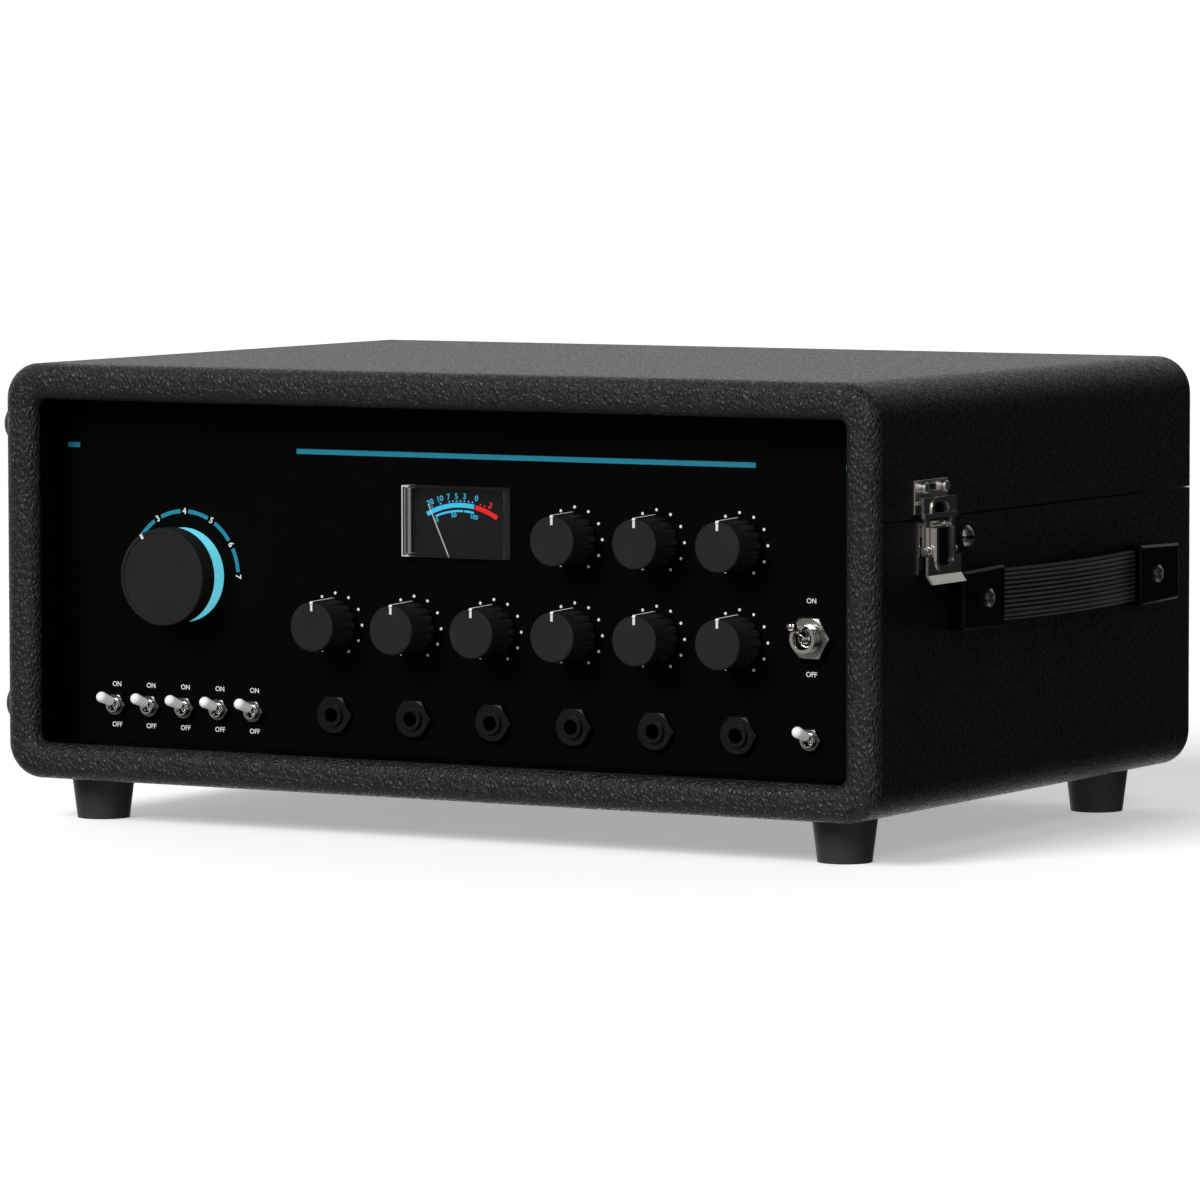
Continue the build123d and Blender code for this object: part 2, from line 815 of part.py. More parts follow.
with BuildPart() as handle_strap:
    strap_slice(0, strap_thickness, handle_z, strap_width)
    # grooves along the outer face leave ribs between two flat borders
    for i in range(strap_groove_count):
        groove_z = handle_z + (i - (strap_groove_count - 1) / 2) * strap_groove_pitch
        strap_slice(
            strap_thickness - strap_groove_depth,
            strap_thickness + strap_groove_depth,
            groove_z,
            strap_groove_width,
            mode=Mode.SUBTRACT,
        )
    # slots round the screws, so that the strap can slide and lift
    with BuildSketch(facing_right(side_x)):
        with Locations(*handle_screw_places):
            SlotCenterToCenter(strap_thickness, 2 * (screw_shank_radius + strap_fit))
    extrude(amount=handle_cap_out, mode=Mode.SUBTRACT)
save("handle_strap", handle_strap.part)

# ---------------------------------------------------------------- front panel
knob_places = {
    "input_volume_knob": (columns[0], lower_row_rise),
    "chorus_rate_knob": (columns[1], lower_row_rise),
    "chorus_depth_knob": (columns[2], lower_row_rise),
    "reverb_volume_knob": (columns[3], lower_row_rise),
    "speed_knob": (columns[4], lower_row_rise),
    "echo_volume_knob": (columns[5], lower_row_rise),
    "bass_knob": (columns[upper_row_columns[0]], upper_row_rise),
    "treble_knob": (columns[upper_row_columns[1]], upper_row_rise),
    "feedback_knob": (columns[upper_row_columns[2]], upper_row_rise),
}
mini_middle = (mini_toggle_count - 1) / 2
mini_row = [
    (mode_x + (i - mini_middle) * mini_toggle_pitch, mini_toggle_rise)
    for i in range(mini_toggle_count)
]
mini_places = dict(
    zip(
        (
            "direct_toggle_lever",
            "motor_toggle_lever",
            "hold_toggle_lever",
            "echo_toggle_lever",
            "chorus_toggle_lever",
        ),
        mini_row,
    )
)
mini_places["output_level_toggle_lever"] = (right_column, mini_toggle_rise)
power_place = (right_column, power_toggle_rise)
jack_places = [(x, jack_rise) for x in columns]

with BuildPart() as front_panel:
    with BuildSketch(facing_front(0, panel_front, case_middle)):
        RectangleRounded(
            inner_width - 2 * panel_clearance, inner_height - 2 * panel_clearance, inner_corner
        )
    extrude(amount=-panel_thickness)
    with BuildSketch(on_panel(0, 0)):
        with Locations(*knob_places.values(), (mode_x, mode_rise)):
            Circle(bushing_radius + bushing_clearance)
        with Locations(*mini_places.values()):
            Circle(mini_bushing_radius + bushing_clearance)
        with Locations(power_place):
            Circle(power_bushing_radius + bushing_clearance)
        with Locations(*jack_places):
            Circle(jack_bushing_radius + bushing_clearance)
        with Locations((meter_x, meter_rise)):
            Rectangle(meter_width + 2 * meter_fit, meter_glass_height + 2 * meter_fit)
    extrude(amount=-panel_thickness, mode=Mode.SUBTRACT)
save("front_panel", front_panel.part)


# ---------------------------------------------------------------- knobs
def fluted_outline(radius, flutes, depth):
    """A round outline with shallow V flutes: two points on the land and one in each valley."""
    step = 360 / flutes
    points = []
    for i in range(flutes):
        for share, reach in ((-0.3, radius), (0.3, radius), (0.5, radius - depth)):
            angle = radians(90 + (i + share) * step)
            points.append((reach * cos(angle), reach * sin(angle)))
    return points


pot_shaft_end = panel_thickness + pot_depth / 2


def knob_shaft(x, rise, knob_back):
    """The pot's shaft, from inside its body to inside the knob."""
    with BuildSketch(on_panel(x, rise, -pot_shaft_end)) as outline:
        Circle(shaft_radius)
    extrude(outline.sketch, amount=pot_shaft_end + knob_back + shaft_reach - shaft_fit)


def small_knob(x, rise):
    """A cap with a fluted skirt, and a pointer line cut in its face and raised on its side."""
    waist = knob_gap + knob_skirt_height
    face = knob_gap + knob_height
    centre_z = foot_height + rise
    with BuildPart() as knob:
        for ahead, radius, depth in (
            (knob_gap, knob_skirt_radius, knob_flute_depth),
            (waist, knob_waist_radius, knob_flute_runout),
        ):
            with BuildSketch(on_panel(x, rise, ahead)):
                with BuildLine():
                    Polyline(*fluted_outline(radius, knob_flutes, depth), close=True)
                make_face()
        loft()
        with BuildSketch(on_panel(x, rise, waist)):
            Circle(knob_waist_radius)
        with BuildSketch(on_panel(x, rise, face)):
            Circle(knob_face_radius)
        loft()
        chamfer(knob.faces().sort_by(Axis.Y)[0].edges(), knob_edge)
        with BuildSketch(facing_right(x - pointer_width / 2, panel_front, centre_z)):
            with BuildLine():
                Polyline(
                    (-knob_gap, knob_waist_radius - knob_flute_depth),
                    (-knob_gap, knob_skirt_radius + pointer_rib),
                    (knob_edge - face, knob_face_radius + pointer_rib),
                    (-face, knob_face_radius - knob_edge),
                    (-face, knob_face_radius - 2 * knob_edge),
                    close=True,
                )
            make_face()
        extrude(amount=pointer_width)
        with BuildSketch(on_panel(x, rise, face)):
            with Locations((0, knob_face_radius - pointer_length / 2 - knob_edge / 2)):
                Rectangle(pointer_width, pointer_length - knob_edge)
        extrude(amount=-pointer_depth, mode=Mode.SUBTRACT)
        with BuildSketch(on_panel(x, rise, knob_gap)):
            Circle(shaft_radius + shaft_fit)
        extrude(amount=shaft_reach, mode=Mode.SUBTRACT)
        knob_shaft(x, rise, knob_gap)
    return knob.part


for knob_name, (knob_x, knob_rise) in knob_places.items():
    save(knob_name, small_knob(knob_x, knob_rise))

mode_cap_start = mode_skirt_gap + mode_skirt_height
mode_face = mode_cap_start + mode_cap_height
with BuildPart() as mode_knob:
    with BuildSketch(on_panel(mode_x, mode_rise, mode_cap_start)):
        Circle(mode_cap_radius)
    extrude(amount=mode_cap_height)
    chamfer(mode_knob.faces().sort_by(Axis.Y)[0].edges(), knob_edge)
    with BuildSketch(on_panel(mode_x, mode_rise, mode_face)):
        Circle(mode_cap_radius - mode_rim_width)
    extrude(amount=-mode_dish_depth, mode=Mode.SUBTRACT)
    # position mark on the rim
    mark_middle = mode_cap_radius - mode_mark_size / 2
    with BuildSketch(on_panel(mode_x, mode_rise, mode_face)):
        with Locations(
            Location(
                (
                    mark_middle * sin(radians(mode_mark_angle)),
                    mark_middle * cos(radians(mode_mark_angle)),
                ),
                -mode_mark_angle,
            )
        ):
            Rectangle(pointer_width, mode_mark_size)
    extrude(amount=-pointer_depth, mode=Mode.SUBTRACT)
    # hub down through the skirt
    with BuildSketch(on_panel(mode_x, mode_rise, mode_skirt_gap)):
        Circle(2 * shaft_radius)
    extrude(amount=mode_skirt_height)
    with BuildSketch(on_panel(mode_x, mode_rise, mode_skirt_gap)):
        Circle(shaft_radius + shaft_fit)
    extrude(amount=shaft_reach, mode=Mode.SUBTRACT)
    knob_shaft(mode_x, mode_rise, mode_skirt_gap)
save("mode_knob", mode_knob.part)

with BuildPart() as mode_knob_ring:
    with BuildSketch(on_panel(mode_x, mode_rise, mode_skirt_gap)):
        Circle(mode_skirt_radius)
        Circle(2 * shaft_radius + skirt_seat, mode=Mode.SUBTRACT)
    extrude(amount=mode_skirt_height)
    with BuildSketch(on_panel(mode_x, mode_rise, mode_skirt_gap)):
        Circle(mode_skirt_radius - mode_rim_width)
        Circle(4 * shaft_radius, mode=Mode.SUBTRACT)
    extrude(amount=mode_skirt_height - mode_rim_width, mode=Mode.SUBTRACT)
save("mode_knob_ring", mode_knob_ring.part)


# ---------------------------------------------------------------- pots and mode switch
def pot(x, rise, radius, depth):
    """A can behind the panel, and a threaded bushing with its nut through the panel."""
    with BuildSketch(on_panel(x, rise, -panel_thickness)) as outline:
        Circle(radius)
    extrude(outline.sketch, amount=-depth)
    with BuildSketch(on_panel(x, rise, -panel_thickness)) as outline:
        Circle(bushing_radius)
    extrude(outline.sketch, amount=panel_thickness + mode_skirt_gap / 2)


with BuildPart() as control_pots:
    for knob_x, knob_rise in knob_places.values():
        pot(knob_x, knob_rise, pot_radius, pot_depth)
    pot(mode_x, mode_rise, switch_radius, switch_depth)
    with BuildSketch(on_panel(0, 0, mode_skirt_gap)):
        with Locations(*knob_places.values(), (mode_x, mode_rise)):
            Circle(shaft_radius + shaft_fit)
    extrude(amount=-mode_skirt_gap - pot_shaft_end - shaft_fit, mode=Mode.SUBTRACT)
save("control_pots", control_pots.part)


# ---------------------------------------------------------------- toggle switches
def toggle_body(x, rise, bushing, height, bore, pivot, body):
    """A switch body behind the panel and its bored bushing through the panel."""
    with BuildSketch(on_panel(x, rise, -panel_thickness)) as outline:
        Rectangle(body[0], body[1])
    extrude(outline.sketch, amount=-body[2])
    with BuildSketch(on_panel(x, rise, -panel_thickness)) as outline:
        Circle(bushing)
    extrude(outline.sketch, amount=panel_thickness + height)
    with BuildSketch(on_panel(x, rise, height)) as outline:
        Circle(bore)
    extrude(outline.sketch, amount=pivot - height - bore, mode=Mode.SUBTRACT)


def hexagon_nut(x, rise, across, height, bushing):
    """A nut on a bushing, with a flat side up and its outer corners turned off."""
    corner = across / 2 / cos(radians(nut_half_side))
    turned = (corner - across / 2) * sin(radians(nut_half_side))
    with BuildPart() as nut:
        with BuildSketch(on_panel(x, rise)):
            RegularPolygon(across / 2, 6, major_radius=False)
            Circle(bushing + shaft_fit, mode=Mode.SUBTRACT)
        extrude(amount=height)
        with BuildSketch(facing_right(x, panel_front - height, foot_height + rise)):
            with BuildLine():
                Polyline((0, across / 2), (0, corner), (turned, corner), close=True)
            make_face()
        revolve(axis=Axis((x, 0, foot_height + rise), (0, 1, 0)), mode=Mode.SUBTRACT)
    return nut.part


with BuildPart() as toggle_bodies:
    for x, rise in mini_places.values():
        toggle_body(
            x,
            rise,
            mini_bushing_radius,
            mini_bushing_height,
            mini_bore_radius,
            mini_pivot,
            mini_body,
        )
    toggle_body(
        *power_place,
        power_bushing_radius,
        power_bushing_height,
        power_bore_radius,
        power_pivot,
        power_body,
    )
save("toggle_bodies", toggle_bodies.part)

with BuildPart() as toggle_nuts:
    for x, rise in mini_places.values():
        add(hexagon_nut(x, rise, mini_nut_across, mini_nut_height, mini_bushing_radius))
    add(hexagon_nut(*power_place, power_nut_across, power_nut_height, power_bushing_radius))
save("toggle_nuts", toggle_nuts.part)


def lever_plane(x, rise, pivot, tilt):
    """A plane that holds a lever's length, from its pivot: its own y runs out along the lever."""
    along = Vector(0, -cos(radians(tilt)), sin(radians(tilt)))
    start = (x, panel_front - pivot, foot_height + rise)
    return Plane(origin=start, x_dir=(1, 0, 0), z_dir=Vector(1, 0, 0).cross(along))


def mini_lever(x, rise):
    """A pivot ball in the bushing, a thin neck and a long rounded cap."""
    ball = mini_bore_radius - toggle_fit
    plane = lever_plane(x, rise, mini_pivot, mini_tilt)
    tip = mini_lever_length + mini_cap_radius
    with BuildPart() as lever:
        with BuildSketch(plane):
            with BuildLine():
                Line((0, -ball), (0, tip))
                ThreePointArc(
                    (0, tip),
                    (mini_cap_radius * sin(radians(45)), tip - mini_cap_radius * (1 - cos(radians(45)))),
                    (mini_cap_radius, mini_lever_length),
                )
                Polyline(
                    (mini_cap_radius, mini_lever_length),
                    (mini_cap_root, mini_cap_start),
                    (mini_neck_radius, mini_cap_start),
                    (mini_neck_radius, (ball**2 - mini_neck_radius**2) ** 0.5),
                )
                ThreePointArc(
                    (mini_neck_radius, (ball**2 - mini_neck_radius**2) ** 0.5),
                    (ball, 0),
                    (0, -ball),
                )
            make_face()
        revolve(axis=Axis(plane.origin, plane.y_dir))
    return lever.part


for lever_name, (lever_x, lever_rise) in mini_places.items():
    save(lever_name, mini_lever(lever_x, lever_rise))


def power_lever(x, rise):
    """A pivot ball in the bushing and a tapered lever that ends in a round ball."""
    ball = power_bore_radius - toggle_fit
    plane = lever_plane(x, rise, power_pivot, power_tilt)
    tip = power_lever_length + power_ball_radius
    root_y = (ball**2 - power_lever_root**2) ** 0.5
    neck_y = power_lever_length - (power_ball_radius**2 - power_neck_radius**2) ** 0.5
    with BuildPart() as lever:
        with BuildSketch(plane):
            with BuildLine():
                Line((0, -ball), (0, tip))
                ThreePointArc(
                    (0, tip), (power_ball_radius, power_lever_length), (power_neck_radius, neck_y)
                )
                Line((power_neck_radius, neck_y), (power_lever_root, root_y))
                ThreePointArc((power_lever_root, root_y), (ball, 0), (0, -ball))
            make_face()
        revolve(axis=Axis(plane.origin, plane.y_dir))
    return lever.part


save("power_toggle_lever", power_lever(*power_place))

# ---------------------------------------------------------------- jack sockets
with BuildPart() as jack_sockets:
    for x, rise in jack_places:
        with BuildSketch(on_panel(x, rise, -panel_thickness)):
            Rectangle(jack_body, jack_body)
        extrude(amount=-(jack_bore_depth + jack_body_end - jack_bushing_height - panel_thickness))
        with BuildSketch(on_panel(x, rise, -panel_thickness)):
            Circle(jack_bushing_radius)
        extrude(amount=panel_thickness + jack_bushing_height)
        with BuildSketch(on_panel(x, rise, jack_bushing_height)):
            Circle(jack_bore_radius)
        extrude(amount=-jack_bore_depth, mode=Mode.SUBTRACT)
save("jack_sockets", jack_sockets.part)

with BuildPart() as jack_nuts:
    for x, rise in jack_places:
        add(hexagon_nut(x, rise, jack_nut_across, jack_nut_height, jack_bushing_radius))
save("jack_nuts", jack_nuts.part)

# ---------------------------------------------------------------- level meter
housing_top = meter_rise + meter_glass_height / 2 + meter_housing_wall
housing_bottom = meter_pivot_rise - meter_housing_drop
housing_middle = (housing_top + housing_bottom) / 2
housing_height = housing_top - housing_bottom
needle_back = panel_thickness + needle_gap + needle_thickness
dial_front = needle_back + needle_gap
dial_back = dial_front + dial_thickness
staff_end = dial_back + 3 * needle_gap

with BuildPart() as meter_housing:
    with BuildSketch(on_panel(meter_x, housing_middle, -panel_thickness)):
        Rectangle(meter_housing_width, housing_height)
    extrude(amount=-meter_housing_depth)
    with BuildSketch(on_panel(meter_x, housing_middle, -panel_thickness)):
        Rectangle(
            meter_housing_width - 2 * meter_housing_wall, housing_height - 2 * meter_housing_wall
        )
    extrude(amount=-(dial_back - panel_thickness), mode=Mode.SUBTRACT)
    with BuildSketch(on_panel(meter_x, meter_pivot_rise, -dial_back)):
        Circle(needle_staff_radius + shaft_fit)
    extrude(amount=-(staff_end - dial_back + shaft_fit), mode=Mode.SUBTRACT)
save("meter_housing", meter_housing.part)

with BuildPart() as meter_dial:
    with BuildSketch(on_panel(meter_x, housing_middle, -dial_back)):
        Rectangle(
            meter_housing_width - 2 * meter_housing_wall - meter_fit,
            housing_height - 2 * meter_housing_wall - meter_fit,
        )
        with Locations((0, meter_pivot_rise - housing_middle)):
            Circle(2 * needle_staff_radius, mode=Mode.SUBTRACT)
    extrude(amount=dial_thickness)
save("meter_dial", meter_dial.part)

with BuildPart() as meter_needle:
    needle_plane = on_panel(meter_x, meter_pivot_rise, -needle_back)
    with BuildSketch(needle_plane):
        with Locations(Location((0, 0), -needle_angle)):
            with Locations((0, (needle_length - needle_tail) / 2)):
                Rectangle(needle_width, needle_length + needle_tail)
            with Locations((0, -needle_tail)):
                Rectangle(5 * needle_width, 3 * needle_width)
        Circle(needle_hub_radius)
    extrude(amount=needle_thickness)
    with BuildSketch(on_panel(meter_x, meter_pivot_rise, -staff_end)):
        Circle(needle_staff_radius)
    extrude(amount=staff_end - needle_back)
save("meter_needle", meter_needle.part)

with BuildPart() as meter_cover:
    with BuildSketch(on_panel(meter_x, meter_rise, -panel_thickness)):
        Rectangle(meter_width, meter_glass_height)
    extrude(amount=panel_thickness + meter_glass_ahead)
    with BuildSketch(on_panel(meter_x, meter_rise, -panel_thickness)):
        Rectangle(meter_width - 2 * meter_glass_wall, meter_glass_height - 2 * meter_glass_wall)
    extrude(
        amount=panel_thickness + meter_glass_ahead - meter_glass_wall, mode=Mode.SUBTRACT
    )
    chamfer(meter_cover.faces().sort_by(Axis.Y)[0].edges(), meter_glass_edge)
save("meter_cover", meter_cover.part)

# ---------------------------------------------------------------- chassis and deck
chassis_half = inner_width / 2 - chassis_side_gap
chassis_front = panel_back + panel_clearance
chassis_length = wall_back - chassis_front
chassis_middle_y = (chassis_front + wall_back) / 2
chassis_height = deck_bottom - floor_top
inlet_x = chassis_half - chassis_sheet - inlet_side_gap - inlet_width / 2

with BuildPart() as chassis:
    with BuildSketch(Plane.XY.offset(floor_top)):
        with Locations((0, chassis_middle_y)):
            Rectangle(2 * chassis_half, chassis_length)
    extrude(amount=chassis_height)
    fillet(chassis.edges().filter_by(Axis.Y).group_by(Axis.Z)[0], chassis_bend)
    with BuildSketch(Plane.XY.offset(floor_top + chassis_sheet)):
        with Locations((0, chassis_middle_y - chassis_sheet)):
            Rectangle(2 * (chassis_half - chassis_sheet), chassis_length)
    extrude(amount=chassis_height - 2 * chassis_sheet, mode=Mode.SUBTRACT)
    # the top is open between the flanges that carry the deck
    with BuildSketch(Plane.XY.offset(deck_bottom - chassis_sheet)):
        with Locations((0, chassis_middle_y - chassis_flange)):
            Rectangle(2 * (chassis_half - chassis_flange), chassis_length)
    extrude(amount=chassis_sheet, mode=Mode.SUBTRACT)
    # vents and the inlet's cut-out in the back
    with BuildSketch(facing_front(0, wall_back, foot_height)):
        with Locations((vent_middle_x, vent_middle_rise)):
            with GridLocations(vent_spacing, vent_pitch, vent_columns, vent_rows):
                SlotOverall(vent_length, vent_width)
        with Locations((inlet_x, inlet_rise)):
            Rectangle(inlet_width + 2 * meter_fit, inlet_height + 2 * meter_fit)
    extrude(amount=chassis_sheet, mode=Mode.SUBTRACT)
save("chassis", chassis.part)

with BuildPart() as power_inlet:
    inlet_plane = Plane(
        origin=(inlet_x, wall_back, foot_height + inlet_rise), x_dir=(-1, 0, 0), z_dir=(0, 1, 0)
    )
    with BuildSketch(inlet_plane):
        Rectangle(inlet_width + 2 * inlet_flange_margin, inlet_height + 2 * inlet_flange_margin)
    extrude(amount=inlet_flange)
    with BuildSketch(inlet_plane):
        Rectangle(inlet_width, inlet_height)
    extrude(amount=-inlet_depth)
    with BuildSketch(inlet_plane.offset(inlet_flange)):
        Rectangle(*inlet_cavity)
    extrude(amount=-inlet_cavity_depth - inlet_flange, mode=Mode.SUBTRACT)
    with BuildSketch(inlet_plane.offset(-inlet_cavity_depth)):
        with Locations(
            (0, inlet_pin_step),
            (-inlet_pin_spread, -inlet_pin_step),
            (inlet_pin_spread, -inlet_pin_step),
        ):
            Rectangle(*inlet_pin)
    extrude(amount=inlet_cavity_depth)
save("power_inlet", power_inlet.part)

deck_half = inner_width / 2 - chassis_side_gap - deck_side_gap
head_line_y = panel_back + head_line_setback
tank_left = -inner_width / 2 + tank_left_gap
tank_right = inner_width / 2 - tank_right_gap
tank_front = head_line_y + tank_head_gap
tank_back = wall_back - tank_back_gap
port_left = tank_left + tank_corner + tank_port / 2
port_right = tank_right - tank_corner - tank_port / 2
capstan_x = port_left + capstan_inset
capstan_y = head_line_y - tape_thickness / 2 - capstan_radius - 2 * capstan_fit
arm_pivot_x = capstan_x + arm_length
roller_y = head_line_y + tape_thickness / 2 + roller_radius + roller_retract
motor_posts = [
    (capstan_x + motor_post_circle * cos(radians(a)), capstan_y + motor_post_circle * sin(radians(a)))
    for a in (90, 210, 330)
]
bearing_radius = 2 * capstan_radius

with BuildPart() as deck_plate:
    with BuildSketch(Plane.XY.offset(deck_bottom)):
        with Locations((0, chassis_middle_y)):
            Rectangle(2 * deck_half, chassis_length - 2 * deck_side_gap)
    extrude(amount=deck_thickness)
    # bearing boss for the capstan and post for the pinch arm
    with BuildSketch(Plane.XY.offset(deck_bottom)):
        with Locations((capstan_x, capstan_y)):
            Circle(bearing_radius)
    extrude(amount=deck_thickness + arm_thickness)
    with BuildSketch(Plane.XY.offset(deck_top)):
        with Locations((arm_pivot_x, roller_y)):
            Circle(arm_post_radius)
    extrude(amount=tape_lift + roller_height)
    with BuildSketch(Plane.XY.offset(deck_bottom)):
        with Locations((capstan_x, capstan_y)):
            Circle(capstan_radius + capstan_fit)
    extrude(amount=deck_thickness + arm_thickness, mode=Mode.SUBTRACT)
save("deck_plate", deck_plate.part)

# ---------------------------------------------------------------- capstan, its motor and the pinch roller
flywheel_top = deck_bottom - flywheel_gap
flywheel_bottom = flywheel_top - flywheel_height
motor_top = flywheel_bottom - flywheel_gap

with BuildPart() as capstan_motor:
    with BuildSketch(Plane.XY.offset(motor_top)):
        with Locations((capstan_x, capstan_y)):
            Circle(motor_post_circle + 2 * motor_post_radius)
    extrude(amount=-deck_thickness)
    with BuildSketch(Plane.XY.offset(motor_top)):
        with Locations((capstan_x, capstan_y)):
            Circle(motor_radius)
    extrude(amount=-motor_height)
    with BuildSketch(Plane.XY.offset(motor_top)):
        with Locations(*motor_posts):
            Circle(motor_post_radius)
    extrude(amount=deck_bottom - motor_top)
    with BuildSketch(Plane.XY.offset(motor_top)):
        with Locations((capstan_x, capstan_y)):
            Circle(capstan_radius + capstan_fit)
    extrude(amount=-motor_height / 2, mode=Mode.SUBTRACT)
save("capstan_motor", capstan_motor.part)

with BuildPart() as capstan:
    with BuildSketch(Plane.XY.offset(motor_top - motor_height / 2 + flywheel_gap)):
        with Locations((capstan_x, capstan_y)):
            Circle(capstan_radius)
    extrude(amount=deck_top + capstan_height - motor_top + motor_height / 2 - flywheel_gap)
    with BuildSketch(Plane.XY.offset(flywheel_bottom)):
        with Locations((capstan_x, capstan_y)):
            Circle(flywheel_radius)
    extrude(amount=flywheel_height)
save("capstan", capstan.part)

arm_low = deck_top + arm_gap
roller_low = arm_low + arm_thickness + arm_gap
roller_pin_top = roller_low + roller_height + arm_gap
with BuildPart() as pinch_arm:
    with BuildSketch(Plane.XY.offset(arm_low)):
        with Locations(((capstan_x + arm_pivot_x) / 2, roller_y)):
            SlotCenterToCenter(arm_length, arm_width)
    extrude(amount=arm_thickness)
    with BuildSketch(Plane.XY.offset(arm_low)):
        with Locations((arm_pivot_x, roller_y)):
            Circle(arm_width / 2)
    extrude(amount=roller_height)
    with BuildSketch(Plane.XY.offset(arm_low)):
        with Locations((capstan_x, roller_y)):
            Circle(roller_pin_radius)
    extrude(amount=roller_pin_top - arm_low)
    with BuildSketch(Plane.XY.offset(arm_low)):
        with Locations((arm_pivot_x, roller_y)):
            Circle(arm_post_radius + capstan_fit)
    extrude(amount=roller_height, mode=Mode.SUBTRACT)
save("pinch_arm", pinch_arm.part)

with BuildPart() as pinch_roller:
    with BuildSketch(Plane.XY.offset(roller_low)):
        with Locations((capstan_x, roller_y)):
            Circle(roller_radius)
            Circle(roller_pin_radius + capstan_fit, mode=Mode.SUBTRACT)
    extrude(amount=roller_height)
save("pinch_roller", pinch_roller.part)

# ---------------------------------------------------------------- tape tank, tape, guides and heads
tank_length = tank_right - tank_left
tank_width = tank_back - tank_front
tank_middle = ((tank_left + tank_right) / 2, (tank_front + tank_back) / 2)
tank_top = deck_top + tank_height
ear_places = [
    (
        tank_middle[0] + side * (tank_length / 2 + tank_ear_reach),
        tank_middle[1] + end * tank_width / 3,
    )
    for side in (-1, 1)
    for end in (-1, 1)
]

with BuildPart() as tape_tank:
    with BuildSketch(Plane.XY.offset(deck_top)):
        with Locations(tank_middle):
            RectangleRounded(tank_length, tank_width, tank_corner)
    extrude(amount=tank_height)
    with BuildSketch(Plane.XY.offset(deck_top + tank_floor)):
        with Locations(tank_middle):
            RectangleRounded(
                tank_length - 2 * tank_wall, tank_width - 2 * tank_wall, tank_corner - tank_wall
            )
        with Locations((port_left, tank_front), (port_right, tank_front)):
            Rectangle(tank_port, 4 * tank_wall)
    extrude(amount=tank_height, mode=Mode.SUBTRACT)
    # ears that the cover's thumbscrews go into
    with BuildSketch(Plane.XY.offset(deck_top)):
        with Locations(*ear_places):
            Circle(tank_ear_radius)
        with Locations(tank_middle):
            RectangleRounded(tank_length, tank_width, tank_corner, mode=Mode.SUBTRACT)
    extrude(amount=tank_height)
    with BuildSketch(Plane.XY.offset(tank_top)):
        with Locations(*ear_places):
            Circle(hole_radius)
    extrude(amount=-hole_depth, mode=Mode.SUBTRACT)
save("tape_tank", tape_tank.part)

with BuildPart() as tank_cover:
    with BuildSketch(Plane.XY.offset(tank_top)):
        with Locations(tank_middle):
            RectangleRounded(tank_length, tank_width, tank_corner)
        with Locations(*ear_places):
            Circle(tank_ear_radius)
        with Locations(*ear_places):
            Circle(hole_radius, mode=Mode.SUBTRACT)
    extrude(amount=tank_cover_thickness)
save("tank_cover", tank_cover.part)

# the loop: along the heads in front, then folded back and forth in the tank
fold_low = tank_front + tank_wall + fold_margin
fold_high = tank_back - tank_wall - fold_margin
fold_pitch = (port_right - port_left) / (fold_count - 1)
fold_radius = (fold_pitch - fold_flat) / 2
guide_turn = guide_radius + tape_thickness
loop_points = []
loop_radii = []
for i in range(fold_count):
    fold_x = port_right - i * fold_pitch
    outward = (fold_x, fold_high)
    homeward = (fold_x, head_line_y if i in (0, fold_count - 1) else fold_low)
    loop_points += (outward, homeward) if i % 2 else (homeward, outward)
    turns = [fold_radius, guide_turn if i in (0, fold_count - 1) else fold_radius]
    loop_radii += turns if i % 2 else turns[::-1]

with BuildPart() as tape_loop:
    for reach, mode in ((tape_thickness / 2, Mode.ADD), (-tape_thickness / 2, Mode.SUBTRACT)):
        with BuildSketch(Plane.XY.offset(tape_low)):
            with BuildLine():
                FilletPolyline(*loop_points, radius=loop_radii, close=True)
            make_face()
            offset(amount=reach)
        extrude(amount=tape_width, mode=mode)
save("tape_loop", tape_loop.part)

guide_reach = guide_radius + tape_thickness / 2 + head_tape_gap
guide_near_x = capstan_x + guide_near_gap
guide_far_x = port_right - guide_far_gap
guide_places = (
    (port_left + guide_turn, head_line_y + guide_turn),
    (port_right - guide_turn, head_line_y + guide_turn),
    (guide_near_x, head_line_y - guide_reach),
    (guide_far_x, head_line_y - guide_reach),
)
with BuildPart() as tape_guides:
    flange_gap = guide_flange_height + head_tape_gap
    for x, y in guide_places:
        for low, height, radius in (
            (deck_top, tape_lift + tape_width + flange_gap, guide_radius),
            (tape_low - flange_gap, guide_flange_height, guide_flange_radius),
            (tape_low + tape_width + head_tape_gap, guide_flange_height, guide_flange_radius),
        ):
            with BuildSketch(Plane.XY.offset(low)):
                with Locations((x, y)):
                    Circle(radius)
            extrude(amount=height)
save("tape_guides", tape_guides.part)

head_tip = head_line_y - tape_thickness / 2 - head_tape_gap
head_pitch = (guide_far_x - guide_near_x) / (head_count + 1)
head_places = [guide_near_x + (i + 1) * head_pitch for i in range(head_count)]
with BuildPart() as tape_heads:
    for x in head_places:
        left = x - head_width / 2
        right = x + head_width / 2
        with BuildSketch(Plane.XY.offset(deck_top)):
            with BuildLine():
                ThreePointArc((left, head_tip - head_nose), (x, head_tip), (right, head_tip - head_nose))
                Polyline(
                    (right, head_tip - head_nose),
                    (right, head_tip - head_depth),
                    (left, head_tip - head_depth),
                    (left, head_tip - head_nose),
                )
            make_face()
        extrude(amount=head_height)
save("tape_heads", tape_heads.part)

